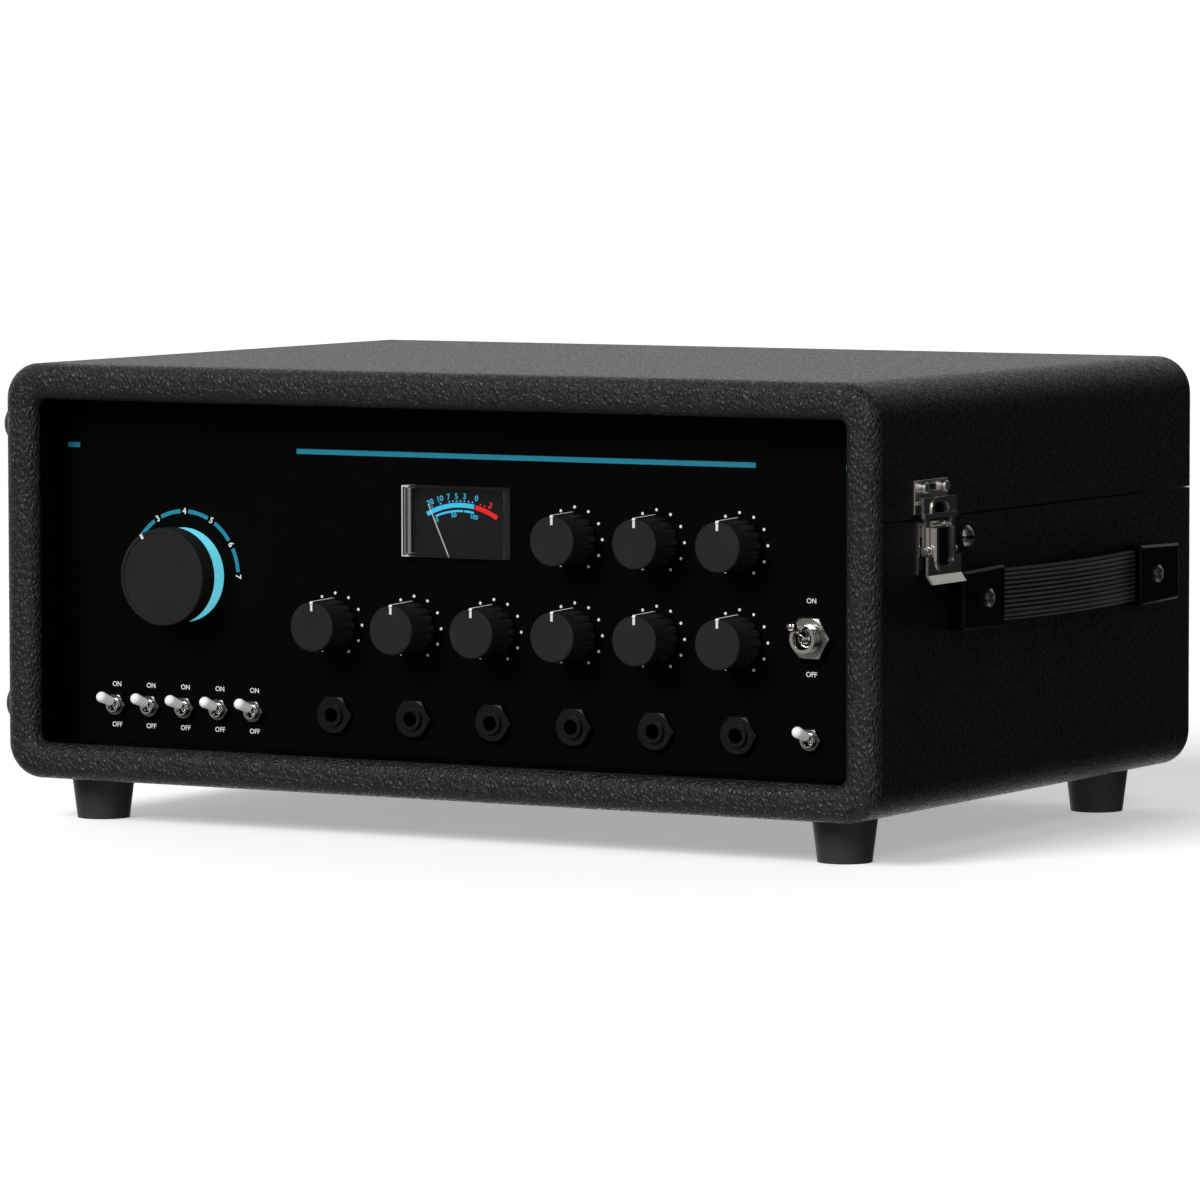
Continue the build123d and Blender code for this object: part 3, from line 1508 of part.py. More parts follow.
# ---------------------------------------------------------------- under the deck
chassis_floor = floor_top + chassis_sheet
board_bottom = chassis_floor + board_lift
board_top = board_bottom + board_thickness
board_length, board_width = board_size
reverb_length, reverb_width, reverb_height = reverb_size
chassis_inside = chassis_half - chassis_sheet
chassis_back = wall_back - chassis_sheet
reverb_x = -chassis_inside + reverb_side_gap + reverb_length / 2
reverb_y = chassis_back - reverb_back_gap - reverb_width / 2
board_x = -chassis_inside + board_side_gap + board_length / 2
board_y = reverb_y - (reverb_width + board_width) / 2 - board_back_gap
with BuildPart() as circuit_board:
    with BuildSketch(Plane.XY.offset(board_bottom)):
        with Locations((board_x, board_y)):
            Rectangle(board_length, board_width)
    extrude(amount=board_thickness)
    # standoffs
    with BuildSketch(Plane.XY.offset(chassis_floor)):
        with Locations((board_x, board_y)):
            with GridLocations(board_length - 4 * board_foot, board_width - 4 * board_foot, 2, 2):
                Circle(board_foot)
    extrude(amount=board_lift)
    # rows of capacitors and integrated circuits
    with BuildSketch(Plane.XY.offset(board_top)):
        with Locations((board_x, board_y + board_width / 4)):
            with GridLocations(board_part_pitch, 0, board_part_count, 1):
                Circle(board_can_radius)
    extrude(amount=board_can_height)
    with BuildSketch(Plane.XY.offset(board_top)):
        with Locations((board_x, board_y)):
            with GridLocations(board_part_pitch, 0, board_part_count, 1):
                Rectangle(*board_chip)
        with Locations((board_x, board_y - board_width / 4)):
            with GridLocations(board_part_pitch, 0, board_part_count, 1):
                Rectangle(*board_chip)
    extrude(amount=board_chip_height)
save("circuit_board", circuit_board.part)

core_length, core_width, core_height = transformer_core
coil_length, coil_width, coil_height = transformer_coil
transformer_place = (
    chassis_inside - transformer_side_gap - core_length / 2,
    chassis_back - transformer_back_gap - coil_width / 2,
)
with BuildPart() as power_transformer:
    with BuildSketch(Plane.XY.offset(chassis_floor)):
        with Locations(transformer_place):
            Rectangle(core_length, core_width)
    extrude(amount=core_height)
    with BuildSketch(Plane.XY.offset(chassis_floor + (core_height - coil_height) / 2)):
        with Locations(transformer_place):
            Rectangle(coil_length, coil_width)
    extrude(amount=coil_height)
save("power_transformer", power_transformer.part)

with BuildPart() as reverb_tank:
    with BuildSketch(Plane.XY.offset(chassis_floor)):
        with Locations((reverb_x, reverb_y)):
            Rectangle(reverb_length, reverb_width)
    extrude(amount=reverb_height)
    with BuildSketch(Plane.XY.offset(chassis_floor + reverb_sheet)):
        with Locations((reverb_x, reverb_y)):
            Rectangle(reverb_length - 2 * reverb_sheet, reverb_width - 2 * reverb_sheet)
    extrude(amount=reverb_height, mode=Mode.SUBTRACT)
    # a pair of springs between blocks at the ends
    spring_z = chassis_floor + reverb_height / 2
    spring_x = reverb_x - reverb_length / 2
    for side in (-1, 1):
        spring_y = reverb_y + side * reverb_width / 5
        with BuildSketch(facing_right(spring_x, spring_y, spring_z)):
            Circle(reverb_spring_radius)
        extrude(amount=reverb_length)
save("reverb_tank", reverb_tank.part)

# ---------------------------------------------------------------- screws of the case

def domed_screw(seat, side, reach, radius, height, rim, slots):
    """A screw with a domed head on a side of the case; slots are the length and turn of each."""
    profile = Plane(origin=seat, x_dir=(0, 1, 0), z_dir=(0, 0, -side))
    across = Plane(origin=seat, x_dir=(0, 1, 0), z_dir=(side, 0, 0))
    rise = height - rim
    with BuildPart() as screw:
        with BuildSketch(profile):
            with BuildLine():
                Polyline(
                    (0, height),
                    (0, -reach),
                    (screw_shank_radius, -reach),
                    (screw_shank_radius, 0),
                    (radius, 0),
                    (radius, rim),
                )
                RadiusArc((radius, rim), (0, height), -(radius**2 + rise**2) / (2 * rise))
            make_face()
        revolve(axis=Axis(profile.origin, profile.y_dir))
        with BuildSketch(across.offset(height - slot_depth)):
            for length, turn in slots:
                Rectangle(length, slot_width, rotation=turn)
        extrude(amount=slot_depth, mode=Mode.SUBTRACT)
    return screw.part


with BuildPart() as case_screws:
    # one in the middle of each foot
    head_low = foot_recess_depth - foot_screw_head_height
    for x, y in foot_places:
        with BuildSketch(Plane.XY.offset(head_low)):
            with Locations((x, y)):
                Circle(foot_screw_head_radius)
        extrude(amount=foot_screw_head_height)
        with BuildSketch(Plane.XY.offset(foot_recess_depth)):
            with Locations((x, y)):
                Circle(screw_shank_radius)
        extrude(amount=foot_height - foot_recess_depth + screw_shank_reach)
    # one with a cross recess through each end of the handle
    for y, z in handle_screw_places:
        add(
            domed_screw(
                (side_x + handle_cap_out, y, z),
                1,
                handle_cap_out + screw_shank_reach,
                handle_screw_radius,
                handle_screw_head,
                handle_screw_rim,
                ((handle_screw_recess, 0), (handle_screw_recess, 90)),
            )
        )
    # one with a single slot in each side
    for side in (-1, 1):
        add(
            domed_screw(
                (side * side_x, *side_screw_place),
                side,
                screw_shank_reach,
                side_screw_head_radius,
                side_screw_head_height,
                side_screw_rim,
                ((3 * side_screw_head_radius, 0),),
            )
        )
    # thumbscrews of the tape tank's cover
    for x, y in ear_places:
        with BuildSketch(Plane.XY.offset(tank_top + tank_cover_thickness)):
            with Locations((x, y)):
                Circle(thumbscrew_radius)
        extrude(amount=thumbscrew_height)
        with BuildSketch(Plane.XY.offset(tank_top + tank_cover_thickness)):
            with Locations((x, y)):
                Circle(screw_shank_radius)
        extrude(amount=-screw_shank_reach)
save("case_screws", case_screws.part)
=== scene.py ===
# %% [markdown]
# # A tape echo unit
# A tape echo records sound on a loop of tape and plays it back a moment later. This one is a
# portable case: a plywood box in black embossed vinyl, a sunken black panel of knobs, switches
# and sockets, a small level meter, and a lid over the tape deck. The solids come ready made
# from the CAD model, each in its own place, in metres. This script gives each its finish, and
# adds what is too thin or too fine for the solids: the inks, the pointer lines, screws, threads
# and knurls.

import json
import math

import bmesh
import bpy
from mathutils import Matrix, Vector


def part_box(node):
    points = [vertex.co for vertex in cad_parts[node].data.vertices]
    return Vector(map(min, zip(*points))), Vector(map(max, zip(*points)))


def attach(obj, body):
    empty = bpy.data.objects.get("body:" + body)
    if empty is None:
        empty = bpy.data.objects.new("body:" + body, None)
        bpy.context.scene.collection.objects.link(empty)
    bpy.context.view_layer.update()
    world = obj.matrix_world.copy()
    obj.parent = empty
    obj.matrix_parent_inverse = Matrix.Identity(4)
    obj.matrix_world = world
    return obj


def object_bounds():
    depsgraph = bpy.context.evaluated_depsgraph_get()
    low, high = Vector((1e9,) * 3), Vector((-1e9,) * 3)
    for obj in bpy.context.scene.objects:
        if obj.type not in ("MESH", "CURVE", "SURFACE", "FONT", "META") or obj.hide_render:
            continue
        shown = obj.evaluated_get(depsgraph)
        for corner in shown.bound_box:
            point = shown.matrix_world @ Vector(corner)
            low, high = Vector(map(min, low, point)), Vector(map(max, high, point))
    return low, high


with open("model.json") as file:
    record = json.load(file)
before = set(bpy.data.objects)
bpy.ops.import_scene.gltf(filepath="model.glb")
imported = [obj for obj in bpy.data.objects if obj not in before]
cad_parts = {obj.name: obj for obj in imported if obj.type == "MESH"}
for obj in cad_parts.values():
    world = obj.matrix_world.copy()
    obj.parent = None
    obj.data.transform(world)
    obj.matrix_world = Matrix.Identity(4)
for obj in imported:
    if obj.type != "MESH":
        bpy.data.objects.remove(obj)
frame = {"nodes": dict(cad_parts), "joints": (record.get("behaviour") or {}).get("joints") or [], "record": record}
cad_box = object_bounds()
solids = frame["nodes"]
joint_at = {j["name"]: Vector(j["pos_m"]) for j in frame["joints"]}
mm = 0.001
print([round(v / mm, 1) for corner in cad_box for v in corner])

# %% [markdown]
# ## Colours and nodes
# A colour picker gives sRGB values, but Blender's shaders want linear light, so one function
# turns a hex code into a linear colour. Others add a node together with its settings and its
# links, in shader trees and in geometry trees alike.


# %% A colour and a node
def linear(code):
    """A hex colour such as "18859c" as linear red, green, blue and alpha."""
    parts = [int(code[i : i + 2], 16) / 255 for i in (0, 2, 4)]
    bent = [p / 12.92 if p <= 0.04045 else ((p + 0.055) / 1.055) ** 2.4 for p in parts]
    return (*bent, 1.0)


def feed(tree, node, inputs):
    """Set a node's inputs, each to a value or by a link from another node's socket."""
    for name, value in inputs.items():
        if isinstance(value, bpy.types.NodeSocket):
            tree.links.new(value, node.inputs[name])
        else:
            node.inputs[name].default_value = value


def add(tree, kind, inputs=None, **settings):
    """Add a node: settings are its own options, inputs are values or other nodes' sockets."""
    node = tree.nodes.new(kind)
    for name, value in settings.items():
        setattr(node, name, value)
    feed(tree, node, inputs or {})
    return node


def maths(tree, operation, *values):
    """Do one step of arithmetic on numbers or sockets, and return the result's socket."""
    return add(tree, "ShaderNodeMath", dict(enumerate(values)), operation=operation).outputs[0]


def start_material(name, **fixed):
    """A new material with its shader, and coordinates that count in millimetres."""
    material = bpy.data.materials.new(name)
    material.use_nodes = True
    tree = material.node_tree
    tree.nodes.clear()
    shader = add(tree, "ShaderNodeBsdfPrincipled", fixed)
    add(tree, "ShaderNodeOutputMaterial", {"Surface": shader.outputs[0]})
    place = add(tree, "ShaderNodeTexCoord")
    millimetres = add(
        tree,
        "ShaderNodeMapping",
        {"Vector": place.outputs["Object"], "Scale": (1 / mm, 1 / mm, 1 / mm)},
    )
    material.diffuse_color = fixed.get("Base Color", (0.5, 0.5, 0.5, 1))
    return material, tree, shader, millimetres.outputs[0]


def between(tree, factor, low, high, data="RGBA"):
    """Mix two colours or two numbers by a factor, and return the result's socket."""
    colours = data == "RGBA"
    slots = (6, 7) if colours else (2, 3)
    node = add(
        tree,
        "ShaderNodeMix",
        {0: factor, slots[0]: low, slots[1]: high},
        data_type=data,
    )
    return node.outputs[2 if colours else 0]


print("black vinyl is", [round(c, 4) for c in linear("0b0b0c")[:3]], "in linear light")

# %% [markdown]
# ## Embossed vinyl covering
# The case wears PVC-coated cloth, pressed with a bark-like grain while hot. Its ridges are
# about 2 mm apart, and run mostly slantwise. A Voronoi pattern's distance to the nearest cell
# edge gives raised cells with grooves between them. Noise bends the cells first, so that no two
# are alike, and a second, finer noise roughens them. The colour stays near black: what shows
# the grain is light on the ridges, so most of the work is in the bump and in the roughness.


# %% Make the covering
def vinyl(name, ridge, stretch, depth, gloss):
    """Black vinyl whose grain is ridge mm wide, longer along the slant by stretch."""
    material, tree, shader, place = start_material(
        name, **{"Base Color": linear("0b0b0c"), "Specular IOR Level": gloss}
    )
    bend = add(tree, "ShaderNodeTexNoise", {"Vector": place, "Scale": 0.45 / ridge, "Detail": 3.0})
    bent = add(
        tree,
        "ShaderNodeVectorMath",
        {0: bend.outputs["Color"], 1: (1.5 * ridge,) * 3, 2: place},
        operation="MULTIPLY_ADD",
    )
    slant = add(
        tree,
        "ShaderNodeMapping",
        {
            "Vector": bent.outputs[0],
            "Rotation": (math.radians(38), math.radians(38), math.radians(30)),
            "Scale": (1.0, 1.0, 1.0 / stretch),
        },
    )
    cells = add(
        tree,
        "ShaderNodeTexVoronoi",
        {"Vector": slant.outputs[0], "Scale": 1.0 / ridge},
        feature="DISTANCE_TO_EDGE",
    )
    domes = add(
        tree,
        "ShaderNodeMapRange",
        {"Value": cells.outputs["Distance"], "From Max": 0.32},
        interpolation_type="SMOOTHSTEP",
    )
    fine = add(tree, "ShaderNodeTexNoise", {"Vector": place, "Scale": 1.6, "Detail": 4.0})
    height = maths(tree, "MULTIPLY_ADD", fine.outputs["Fac"], 0.55, domes.outputs[0])
    bump = add(
        tree,
        "ShaderNodeBump",
        {"Height": height, "Distance": depth * mm, "Strength": 1.0},
    )
    # Painted shade: the colour is a little darker in the grooves between the cells.
    colour = between(tree, domes.outputs[0], linear("050506"), linear("0d0d0e"))
    rough = between(tree, domes.outputs[0], 0.62, 0.40, "FLOAT")
    feed(tree, shader, {"Base Color": colour, "Roughness": rough, "Normal": bump.outputs[0]})
    return material


side_vinyl = vinyl("vinyl_on_the_sides", 1.7, 1.9, 0.16, 0.22)
roll_vinyl = vinyl("vinyl_on_the_front_roll", 1.9, 1.7, 0.42, 0.55)
print("vinyl:", side_vinyl.name, roll_vinyl.name)

# %% [markdown]
# ## Moulded plastics, rubber and paint
# Knobs, sockets and caps are moulded, and a mould's surface is a fine even spark-eroded
# texture. One recipe covers them all: a base colour that wanders a little, a roughness that
# wanders with it, and a low bump at the size of the texture. What differs is colour, gloss and
# how coarse the texture is. Paint and rubber follow the same recipe with other numbers. The
# turquoise ring and the levers' white caps glow a little: painted light, which keeps their
# shaded sides bright.


# %% Make the moulded finishes
def moulded(name, dark, light, rough, specular=0.4, grit=0.35, depth=0.01, glow=0.0):
    """A moulded or painted surface between two close colours; grit is its texture in mm."""
    material, tree, shader, place = start_material(
        name, **{"Base Color": linear(light), "Specular IOR Level": specular}
    )
    drift = add(tree, "ShaderNodeTexNoise", {"Vector": place, "Scale": 0.08, "Detail": 3.0})
    texture = add(tree, "ShaderNodeTexNoise", {"Vector": place, "Scale": 1 / grit, "Detail": 2.0})
    bump = add(
        tree,
        "ShaderNodeBump",
        {"Height": texture.outputs["Fac"], "Distance": depth * mm, "Strength": 0.8},
    )
    spread = add(
        tree,
        "ShaderNodeMapRange",
        {"Value": drift.outputs["Fac"], "To Min": rough - 0.06, "To Max": rough + 0.06},
    )
    feed(tree, shader, {"Roughness": spread.outputs[0], "Normal": bump.outputs[0]})
    feed(tree, shader, {"Emission Color": linear(light), "Emission Strength": glow})
    if dark != light:
        colour = between(tree, drift.outputs["Fac"], linear(dark), linear(light))
        feed(tree, shader, {"Base Color": colour, "Emission Color": colour})
    return material


panel_paint = moulded("panel_black_powder_coat", "020202", "040404", 0.62, 0.03, 0.4)
case_paint = moulded("black_paint_inside_the_case", "060606", "0c0c0c", 0.7, 0.2, 0.8, 0.03)
knob_plastic = moulded("knob_satin_abs", "1e1e1f", "262627", 0.42, 0.16, 0.3)
# Painted light: the ring glows so that its shaded side stays bright.
ring_plastic = moulded("ring_turquoise_abs", "5cc6d8", "70d6e6", 0.38, 0.4, glow=0.7)
# Painted shade: a gloss black laid only in the latches' sunken floors and the screws' slots and crosses.
painted_shade_fill = moulded("painted_shade_in_recesses", "020202", "040404", 0.2, 0.2, 0.8, 0.003)
cap_black = moulded("cap_satin_black_abs", "020202", "040404", 0.34, 0.07, 0.8, 0.003)
socket_black = moulded("socket_black_nylon", "030303", "050505", 0.42, 0.25)
meter_black = moulded("meter_black_styrene", "0a0a0b", "121213", 0.5, 0.3)
inlet_black = moulded("inlet_black_bakelite", "0c0c0c", "141414", 0.4, 0.4)
tank_black = moulded("tank_black_styrene", "101011", "191919", 0.3, 0.4)
foot_rubber = moulded("foot_black_rubber", "2e312f", "383b39", 0.62, 0.3, 0.6, 0.03)
roller_rubber = moulded("roller_soft_rubber", "161514", "211f1d", 0.7, 0.3, 0.3)
# Painted light: the caps glow so that their shaded sides stay bright.
lever_white = moulded("lever_cap_white_nylon", "dcdcd9", "ececea", 0.3, 0.5, glow=0.28)
print("moulded finishes:", len([m for m in bpy.data.materials if "vinyl" not in m.name]))

# %% [markdown]
# ## Metals
# Bright nickel plate on the latches and levers is a mirror with a faint warm cast, and a few
# hairlines from handling. Over sheared edges and turned nuts it is satin. Zinc plate on the
# chassis is duller and mottled. Brushed aluminium on the deck has long straight hairs from the
# brushing belt, so its noise is stretched along X. The tape heads are lapped flat, which leaves
# a grey, even shine. All are one recipe: a metal colour, noise in the roughness, and a shallow
# bump. A metal keeps the shader's own IOR.


# %% Make the metals
def metal(name, dark, light, smooth, rough, grain, hairs=(1, 1, 1), depth=0.004):
    """Bare or plated metal; grain is the size of its mottling or of a hair's width in mm."""
    material, tree, shader, place = start_material(
        name, **{"Base Color": linear(light), "Metallic": 1.0}
    )
    along = add(tree, "ShaderNodeMapping", {"Vector": place, "Scale": hairs})
    drift = add(tree, "ShaderNodeTexNoise", {"Vector": place, "Scale": 0.12, "Detail": 4.0})
    marks = add(
        tree,
        "ShaderNodeTexNoise",
        {"Vector": along.outputs[0], "Scale": 1 / grain, "Detail": 4.0, "Roughness": 0.6},
    )
    bump = add(
        tree,
        "ShaderNodeBump",
        {"Height": marks.outputs["Fac"], "Distance": depth * mm, "Strength": 0.7},
    )
    colour = between(tree, drift.outputs["Fac"], linear(dark), linear(light))
    spread = add(
        tree,
        "ShaderNodeMapRange",
        {"Value": marks.outputs["Fac"], "From Min": 0.35, "From Max": 0.7},
    )
    worn = between(tree, spread.outputs[0], smooth, rough, "FLOAT")
    feed(tree, shader, {"Base Color": colour, "Roughness": worn, "Normal": bump.outputs[0]})
    return material


nickel = metal("nickel_bright_plate", "c6c4be", "e2e0da", 0.05, 0.14, 1.5)
satin_nickel = metal("nickel_on_sheared_edges", "d0cdc6", "ece9e2", 0.28, 0.4, 0.8)
nut_nickel = metal("nickel_on_turned_nuts", "8e8c88", "aeaca8", 0.24, 0.38, 0.8)
small_nut_nickel = metal("nickel_on_small_nuts", "64635f", "848380", 0.24, 0.38, 0.8)
dark_nickel = metal("nickel_on_side_screws", "9c9b98", "bcbbb7", 0.22, 0.36, 1.0)
hinge_nickel = metal("nickel_on_pressed_hinges", "8a8986", "aaa9a5", 0.2, 0.34, 1.0)
head_alloy = metal("heads_lapped_alloy", "6f6d68", "86847e", 0.3, 0.44, 0.6, (1, 1, 0.1))
zinc = metal("chassis_zinc_plate", "7d7f80", "a9abab", 0.3, 0.48, 2.5)
brushed = metal("deck_brushed_aluminium", "9c9d9e", "c3c4c5", 0.22, 0.42, 0.4, (0.02, 1, 1))
ground_steel = metal("shaft_ground_steel", "8f9092", "bcbdc0", 0.12, 0.22, 0.3, (1, 1, 0.1))
needle_white = moulded("needle_white_lacquer", "dcdcd8", "f2f2ee", 0.4)
copper_tape = moulded("coil_varnished_paper", "6b4a1f", "8c6630", 0.45, 0.4, 1.0, 0.03)
steel_core = metal("core_varnished_laminations", "2a2b2d", "4a4b4e", 0.35, 0.5, 0.5, (1, 1, 1))
print("metals:", nickel.name, zinc.name, brushed.name, ground_steel.name)

# %% [markdown]
# ## Clear covers
# The meter's cover is clear acrylic, and the tape tank's is smoked. A sheet that thin bends
# light very little, so instead of refraction the shader's alpha lets the scene show through.
# Acrylic mirrors 4 per cent of the light straight on and far more at a slant, and the fifth
# power of Layer Weight's Facing follows that rise. It reads the same from the sheet's inner
# side, where a Fresnel node would turn the sheet opaque. The cover's side walls glow at their
# front and back edges near its left end, a painted highlight: from the side they show as two
# bright lines with a grey strip between.


# %% Make the clear covers
straight_on = 0.04  # share of the light that acrylic mirrors straight on


def clear(name, tint, density):
    """A clear sheet, its tree, its shader and coordinates in mm; density is how smoked it is."""
    material, tree, shader, place = start_material(name, **{"Base Color": linear(tint)})
    turned_away = add(tree, "ShaderNodeLayerWeight", {"Blend": 0.5})
    graze = maths(tree, "POWER", turned_away.outputs["Facing"], 5)
    smudge = add(tree, "ShaderNodeTexNoise", {"Vector": place, "Scale": 0.15, "Detail": 5.0})
    spread = add(
        tree,
        "ShaderNodeMapRange",
        {"Value": smudge.outputs["Fac"], "To Min": 0.02, "To Max": 0.09},
    )
    alpha = maths(tree, "ADD", graze, straight_on + density)
    feed(tree, shader, {"Alpha": alpha, "Roughness": spread.outputs[0]})
    return material, tree, shader, place


def share(tree, value, low, high):
    """How far a number has gone from low to high, eased and kept within 0 to 1."""
    node = add(
        tree,
        "ShaderNodeMapRange",
        {"Value": value, "From Min": low, "From Max": high},
        interpolation_type="SMOOTHSTEP",
    )
    return node.outputs[0]


smoked = clear("tank_smoked_acrylic", "1b1d20", 0.42)[0]
meter_acrylic = clear("meter_clear_acrylic", "101214", 0.02)[0]
edge_glow_finish, tree, shader, place = clear("meter_acrylic_painted_glow", "1c1e1f", 0.0)
cover_low, cover_high = (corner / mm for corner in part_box("meter_cover"))
parts = add(tree, "ShaderNodeSeparateXYZ", {"Vector": place}).outputs
# Painted highlight: the edge faces glow in a bright line at the front and a dimmer one at the back, near the
# cover's left end, where they are also more solid.
front_line = share(tree, parts["Y"], cover_low.y + 2.0, cover_low.y + 1.0)
back_line = share(tree, parts["Y"], cover_high.y - 2.9, cover_high.y - 2.1)
dimmed = maths(tree, "MULTIPLY", back_line, 0.3)
lines = maths(tree, "MAXIMUM", front_line, dimmed)
near_left_end = share(tree, parts["X"], cover_low.x + 5.0, cover_low.x + 3.0)
painted_lines = maths(tree, "MULTIPLY", lines, near_left_end)
strength = between(tree, painted_lines, 0.03, 0.8, "FLOAT")
solid = between(tree, near_left_end, 0.3, 0.9, "FLOAT")
feed(tree, shader, {"Emission Strength": strength, "Alpha": solid})
feed(tree, shader, {"Emission Color": linear("e4e8ea")})
print("meter cover is", [round(v, 1) for v in cover_high - cover_low], "mm")

# %% [markdown]
# ## Ribbed rubber
# The strap is extruded rubber with fine ribs along it. The solid has the grooves over its
# middle. The finish carries them on to the edges: a cosine of the height paints shade dark in
# each groove and a pale highlight on each rib, and the same wave lifts the surface a little, so
# that every rib keeps a thin line of light.

# %% Make the ribbed rubber
strap_rubber, tree, shader, place = start_material(
    "strap_ribbed_rubber", **{"Specular IOR Level": 0.45, "Roughness": 0.45}
)
strap_low, strap_high = (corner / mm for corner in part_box("handle_strap"))
rib_pitch = 1.95
height = add(tree, "ShaderNodeSeparateXYZ", {"Vector": place}).outputs["Z"]
from_middle = maths(tree, "SUBTRACT", height, (strap_low.z + strap_high.z) / 2)
turned = maths(tree, "MULTIPLY", from_middle, math.tau / rib_pitch)
rib = share(tree, maths(tree, "COSINE", turned), 0.7, -0.9)
# Painted shade in each groove and a painted highlight on each rib.
colour = between(tree, rib, linear("0a0b0b"), linear("464b48"))
bump = add(tree, "ShaderNodeBump", {"Height": rib, "Distance": 0.35 * mm, "Strength": 0.8})
feed(tree, shader, {"Base Color": colour, "Normal": bump.outputs[0]})
print(round((strap_high.z - strap_low.z) / rib_pitch, 1), "ribs over the strap's width")

# %% [markdown]
# ## Inks, tape and circuit board
# The panel and the dial are screen printed: an ink film some hundredths of a millimetre thick,
# flat in colour but for the mesh's own faint unevenness. The dial's inks glow a little, as
# painted light. Recording tape is brown iron oxide, polished on one side.


# %% Make the inks
def ink(name, code, glow=0.0):
    """Screen printing ink; glow is painted light added to it."""
    return moulded(name, code, code, 0.5, 0.3, 0.25, 0.004, glow)


white_ink = ink("ink_white", "e9e9e7")
teal_ink = ink("ink_teal", "17859d")
# Painted light: the dial's inks glow a little.
dial_blue = ink("dial_ink_light_blue", "3fbce4", 0.35)
dial_red = ink("dial_ink_red", "e3201f", 0.35)
dial_card = moulded("dial_dark_card", "131415", "191a1b", 0.6, 0.15)
tape_oxide = moulded("tape_brown_oxide", "2c160c", "3d2013", 0.28, 0.5, 0.5, 0.004)
laminate = moulded("board_green_laminate", "1e3d20", "2a5229", 0.35, 0.5, 1.2)
chip_black = moulded("chips_black_epoxy", "0d0d0e", "171718", 0.5)
can_sleeve = moulded("capacitor_dark_blue_sleeve", "0d1430", "15204a", 0.3, 0.5)
print("inks:", [m.name for m in bpy.data.materials if "ink" in m.name])

# %% [markdown]
# ## Finishes on the solids
# Each solid gets its material by name. A solid that wears two finishes, such as the lid with
# vinyl outside and paint inside, is divided by a test on the middle of each face. The solids'
# meshes are loose triangles, so metal parts also get a Weld and a narrow Bevel, which gives
# every pressed or cut edge the thin line of light that real plated edges have.


# %% Dress the solids
def dress(material, *names):
    """Give whole solids one material."""
    for name in names:
        solids[name].data.materials.clear()
        solids[name].data.materials.append(material)


def dress_faces(name, material, test):
    """Give one more material to the faces of a solid whose middle, in mm, passes a test."""
    mesh = solids[name].data
    mesh.materials.append(material)
    number = len(mesh.materials) - 1
    chosen = [p for p in mesh.polygons if test(p.center / mm, p.normal)]
    for polygon in chosen:
        polygon.material_index = number
    return len(chosen)


knobs = [n for n in solids if n.endswith("_knob") and n != "mode_knob"]
mini_levers = [n for n in solids if n.endswith("_toggle_lever") and not n.startswith("power")]
latches = [n for n in solids if n.startswith("latch")]
hinges = [n for n in solids if n.startswith("hinge")]
dress(side_vinyl, "case_body", "lid")
dress(roll_vinyl, "front_frame")
dress(foot_rubber, "bottom_feet", "case_side_feet", "lid_side_feet")
dress(nickel, *latches, "case_screws", "toggle_bodies", "power_toggle_lever", *mini_levers)
dress(nut_nickel, "toggle_nuts")
dress(hinge_nickel, *hinges)
dress(head_alloy, "tape_heads")
dress(cap_black, "handle_caps")
dress(strap_rubber, "handle_strap")
dress(panel_paint, "front_panel")
dress(knob_plastic, *knobs, "mode_knob")
dress(ring_plastic, "mode_knob_ring")
dress(zinc, "control_pots", "chassis", "capstan_motor", "pinch_arm", "reverb_tank")
dress(socket_black, "jack_sockets", "jack_nuts")
dress(meter_black, "meter_housing")
dress(dial_card, "meter_dial")
dress(needle_white, "meter_needle")
dress(meter_acrylic, "meter_cover")
dress(inlet_black, "power_inlet")
dress(brushed, "deck_plate")
dress(ground_steel, "capstan", "tape_guides")
dress(roller_rubber, "pinch_roller")
dress(tank_black, "tape_tank")
dress(smoked, "tank_cover")
dress(tape_oxide, "tape_loop")
dress(laminate, "circuit_board")
dress(steel_core, "power_transformer")
undressed = [
    name
    for name, solid in solids.items()
    if not solid.data.materials or not solid.data.materials[0].use_nodes
]
print("solids left without a finish:", undressed)

# %% Second finishes
wall_inside = 205.5
back_inside = 139.8
top_inside = 190.6
bottom_inside = 30.9


def inside_case(middle, normal):
    """True on the faces that look into the case."""
    return (
        abs(middle.x) < wall_inside
        and middle.y < back_inside
        and bottom_inside < middle.z < top_inside
    )


painted = sum(dress_faces(n, case_paint, inside_case) for n in ("case_body", "lid"))
liner_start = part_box("case_body")[0].y / mm + 0.3
liner = dress_faces(
    "front_frame",
    panel_paint,
    lambda middle, normal: middle.y > liner_start and abs(normal.y) < 0.5,
)
cap_start = 5.6
for name in mini_levers:
    pivot = joint_at[name.removesuffix("_lever")] / mm
    dress_faces(
        name,
        lever_white,
        lambda middle, normal: (middle - pivot).length > cap_start,
    )
board_top, cans_start = 41.9, 20.0
dress_faces("circuit_board", chip_black, lambda middle, normal: middle.z > board_top)
dress_faces(
    "circuit_board",
    can_sleeve,
    lambda middle, normal: middle.z > board_top and middle.y > cans_start,
)
core = (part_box("power_transformer")[0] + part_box("power_transformer")[1]) / 2 / mm
half_core = 17.1
dress_faces(
    "power_transformer",
    copper_tape,
    lambda middle, normal: abs(middle.y - core.y) > half_core,
)
side_face = 217.0
dress_faces(
    "case_screws",
    dark_nickel,
    lambda middle, normal: abs(middle.x) > side_face and middle.z > 100,
)
edges = dress_faces("meter_cover", edge_glow_finish, lambda middle, normal: abs(normal.y) < 0.9)
print(painted, "faces painted inside,", liner, "on the liner,", edges, "at the meter cover's edges")
